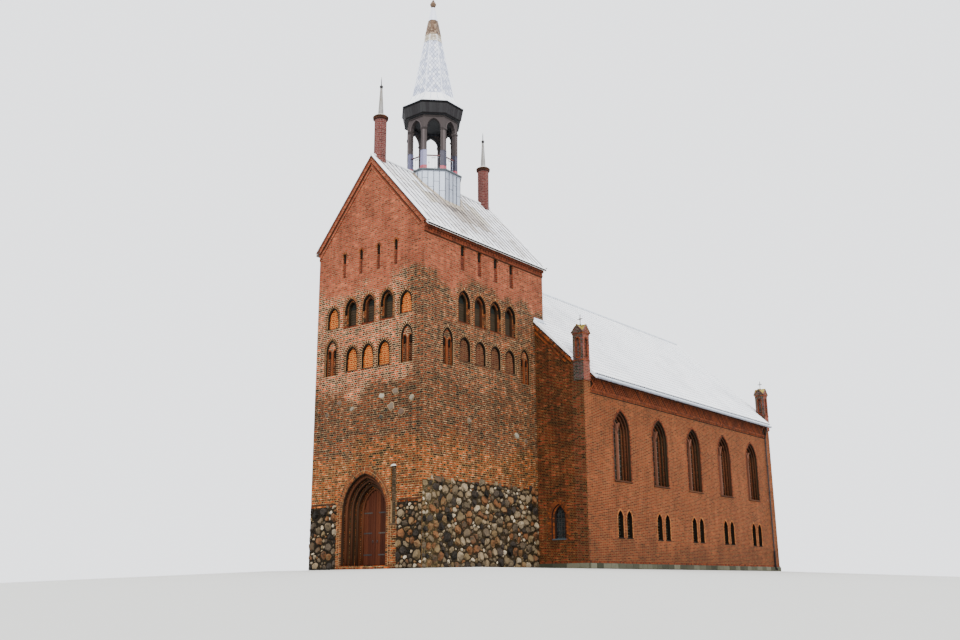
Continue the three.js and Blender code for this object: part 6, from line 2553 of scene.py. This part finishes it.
    def downpipe(self, shell: Shell, sign: int) -> None:
        """Adds one downpipe at the rear corner, with its swan neck, clamps and standpipe.

        Args:
            shell: the shell to add to.
            sign: which side, 1 for the right one and -1 for the left one.
        """
        x, y = 6.47, 30.2
        neck = [(self.gutter, y - 0.35, 9.13), (6.77, y - 0.35, 9.0), (6.68, y - 0.25, 8.86),
                (6.54, y - 0.1, 8.6), (6.48, y - 0.02, 8.42), (x, y, 8.2), (x, y, 1.2)]
        stand = [(x, y, 1.25), (x, y, 0.3), (6.5, y, 0.18), (6.58, y, 0.1)]
        shell.sweep([at(sign * p, q, z) for p, q, z in neck], 0.042, 10, tone=1.0)
        shell.sweep([at(sign * p, q, z) for p, q, z in stand], 0.06, 10, tone=0.3)
        for z in (1.5, 3.2, 4.9, 6.6, 8.1):
            clamp = [at(sign * (x + 0.056 * u), y + 0.056 * v, z) for u, v in turns(12, math.tau / 12)]
            shell.sweep(clamp, 0.011, 5, closed=True)


@dataclass
class Turrets:
    """The four square corner turrets with cross-gabled caps under iron crosses."""

    stock: Stock
    size: float = 0.6
    peak: float = 11.76
    pitch: float = 1.15
    rows: int = 5
    cross_arm: float = 12.155

    @property
    def reach(self) -> float:
        """How far the caps reach from their middles."""
        return self.size / 2 + 0.045

    def spots(self) -> list[tuple[float, float]]:
        """The middles of the turrets."""
        return [(sx * 6.14, y) for sx in (1, -1) for y in (8.79, 30.84)]

    def build(self) -> None:
        """Builds the caps' tiles and ridges, the verge lines, the niche rings and the crosses' details."""
        tiles, verges, rings, iron = (Shell(SEED + i) for i in (131, 132, 133, 134))
        for x, y in self.spots():
            middle = at(x, y, 0)
            for outward in (X, Y, -X, -Y):
                self.gable(tiles, verges, upright(middle, outward))
                self.niche(rings, upright(middle + outward * (self.size / 2), outward))
            self.cross(iron, x, y)
        tiles.piece("turret_cap_tiles", self.stock.of(LICHEN_TILE), "shingle")
        verges.piece("turret_verges", self.stock.of(DARK_RED_PAINT), "dark_timber")
        rings.piece("turret_brick_trims", self.stock.of(MOULDED_BRICK), "nave_brick")
        iron.piece("turret_cross_ironwork", self.stock.of(IRON), "iron")

    def gable(self, tiles: Shell, verges: Shell, plane: Plane) -> None:
        """Adds the tiles, the ridge roll and the verge lines of one of a cap's four gables.

        Args:
            tiles: the shell of the tiles.
            verges: the shell of the verge lines.
            plane: the upright plane through the turret's middle that looks the gable's way.
        """
        reach = self.reach
        top = self.peak + 0.045
        for sign in (1, -1):
            self.courses(tiles, plane, sign)
            foot = plane.at(sign * reach, top - self.pitch * reach, reach)
            verges.bar(foot, plane.at(0, top, reach), 0.03, 0.045, plane.outward, tone=0.6)
        ridge = self.peak + 0.05
        tiles.sweep([plane.at(0, ridge, 0), plane.at(0, ridge, reach + 0.01)], 0.028, 8)

    def niche(self, shell: Shell, face: Plane) -> None:
        """Adds the ring, jambs and sill of the niche on one face, and the courses below and above it.

        Args:
            shell: the shell to add to.
            face: the turret's face.
        """
        arch = Arch(0.0, 0.095, 0.06, 10.15, 11.0)
        trim = ArchTrim(shell, face)
        trim.ring(arch.grown(-0.004), 0.07, (-0.05, 0.012), brick=0.06)
        trim.jambs(arch.grown(-0.003), 0.065, (-0.05, 0.008), NAVE_COURSE)
        shell.sloped(face, (-0.12, 0.12), [(10.2, -0.105), (10.155, 0.025), (10.1, 0.025), (10.1, -0.105)])
        for low, high, out in ((9.96, 10.03, 0.016), (11.31, 11.385, 0.022)):
            ends = (-self.size / 2 - out, self.size / 2 + out)
            shell.run(face, ends, (low, high), (-0.03, out), 0.12, bevel=0.004)

    def cross(self, shell: Shell, x: float, y: float) -> None:
        """Adds the foot, knobs and scrolls of one turret's cross.

        Args:
            shell: the shell to add to.
            x: place of the turret's middle across.
            y: its place behind the tower's front face.
        """
        top, arm = self.peak + 0.04, self.cross_arm
        shell.turned([(0.05, top), (0.055, top + 0.03), (0.03, top + 0.08), (0.016, top + 0.14)], x, y, 10)
        for sign in (1, -1):
            shell.sweep([at(x + sign * a, y, arm) for a in (0.12, 0.135, 0.15)], 0.02, 6)
            bow = turns(9, math.pi / 8, -math.pi / 2)
            shell.sweep([at(x + sign * 0.07 * u, y, arm + 0.07 * v) for u, v in bow], 0.007, 5)
        shell.sweep([at(x, y, z) for z in (12.32, 12.35, 12.37)], 0.018, 6)

    def courses(self, shell: Shell, plane: Plane, sign: int) -> None:
        """Adds the tile courses of one half of one gable's cap, from its eave up to the ridge.

        Args:
            shell: the shell to add to.
            plane: the upright plane through the turret's middle that looks the gable's way.
            sign: which half, 1 or -1.
        """
        reach = self.reach
        for r in range(self.rows):
            low = reach * (1 - r / self.rows) + 0.008
            high = max(0.002, reach * (1 - (r + 1) / self.rows) - 0.01)
            rings = []
            for s, lift in ((low, 0.034), (high, 0.016)):
                z = self.peak - self.pitch * s + 0.012
                corners = ((s * 0.98, 0.0), (reach, 0.0), (reach, lift), (s * 0.98, lift))
                rings.append([plane.at(sign * s, z + rise, out) for out, rise in corners])
            shell.loft(rings)


@dataclass
class Studio:
    """A plain pale floor, soft light and the camera, placed as in the photograph."""

    stock: Stock
    lens_mm: float = 36.7
    yaw: float = 38.585
    pitch: float = 15.094
    roll: float = -0.387
    radius: float = 75.0
    place: Corner = (31.81, -31.44, -0.66)

    def build(self) -> None:
        """Builds the floor, the light and the camera."""
        self.build_floor()
        self.build_light()
        self.build_camera()

    def build_floor(self) -> None:
        """Builds a floor that falls away gently from the building's foot on all sides."""
        mesh = bpy.data.meshes.new("studio_floor")
        half_x, half_y = 6.5, 15.6
        steps = (0.0, 0.5, 1.5, 4.0, 8.0, 14.0, 22.0, 32.0, 45.0, self.radius)
        level = -0.004
        points, faces = [(0.0, 0.0, level)], []
        for reach in steps:
            for quarter, (sx, sy) in enumerate(((1, 1), (-1, 1), (-1, -1), (1, -1))):
                for u, v in turns(13, math.pi / 24, quarter * math.pi / 2):
                    z = level - min(2.2, 0.042 * reach)
                    points.append((sx * half_x + reach * u, sy * half_y + reach * v, z))
        sides = 4 * 13
        for k in range(sides):
            faces.append((0, 1 + k, 1 + (k + 1) % sides))
        for i in range(len(steps) - 1):
            low = 1 + i * sides
            for k in range(sides):
                j = (k + 1) % sides
                faces.append((low + k, low + sides + k, low + sides + j, low + j))
        mesh.from_pydata(points, [], faces)
        mesh.materials.append(self.stock.of(STUDIO_FLOOR, solid=True))
        floor = bpy.data.objects.new("studio_floor", mesh)
        bpy.context.scene.collection.objects.link(floor)

    def build_light(self) -> None:
        """Sets a pale even sky and one very broad sun between the front and the right."""
        world = bpy.data.worlds.new("studio_sky")
        world.use_nodes = True
        back = world.node_tree.nodes["Background"]
        back.inputs["Color"].default_value = linear("#f2f4f8")
        back.inputs["Strength"].default_value = 2.6
        bpy.context.scene.world = world
        sun = bpy.data.lights.new("studio_sun", "SUN")
        sun.energy = 2.1
        sun.angle = math.radians(40)
        sun.color = linear("#fffaf2")[:3]
        lamp = bpy.data.objects.new("studio_sun", sun)
        way = Vector((0.62, -0.58, 0.53))
        lamp.rotation_euler = way.to_track_quat("Z", "Y").to_euler()
        bpy.context.scene.collection.objects.link(lamp)

    def build_camera(self) -> None:
        """Places the camera that was solved from the photograph."""
        camera = bpy.data.cameras.new("photo_camera")
        camera.lens = self.lens_mm
        camera.sensor_width = 36.0
        camera.clip_end = 500.0
        holder = bpy.data.objects.new("photo_camera", camera)
        turn = Matrix.Rotation(math.radians(self.yaw), 4, "Z")
        turn = turn @ Matrix.Rotation(math.radians(90 + self.pitch), 4, "X")
        turn = turn @ Matrix.Rotation(math.radians(self.roll), 4, "Z")
        holder.matrix_world = Matrix.Translation(at(*self.place)) @ turn
        bpy.context.scene.collection.objects.link(holder)
        bpy.context.scene.camera = holder


def main() -> None:
    """Builds the church's pieces in order, then the studio."""
    logging.basicConfig(level=logging.INFO, format="%(message)s")
    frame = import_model()
    stock = Stock(frame["nodes"])
    parts = (TowerWalls, Portal, FieldStones, TowerRoof, RidgePinnacles, Lantern, Spire, NaveWalls,
             NaveWindows, NaveRoof, Turrets, Studio)
    for part in parts:
        LOG.info("building %s", part.__name__)
        part(stock).build()


if __name__ == "__main__":
    main()
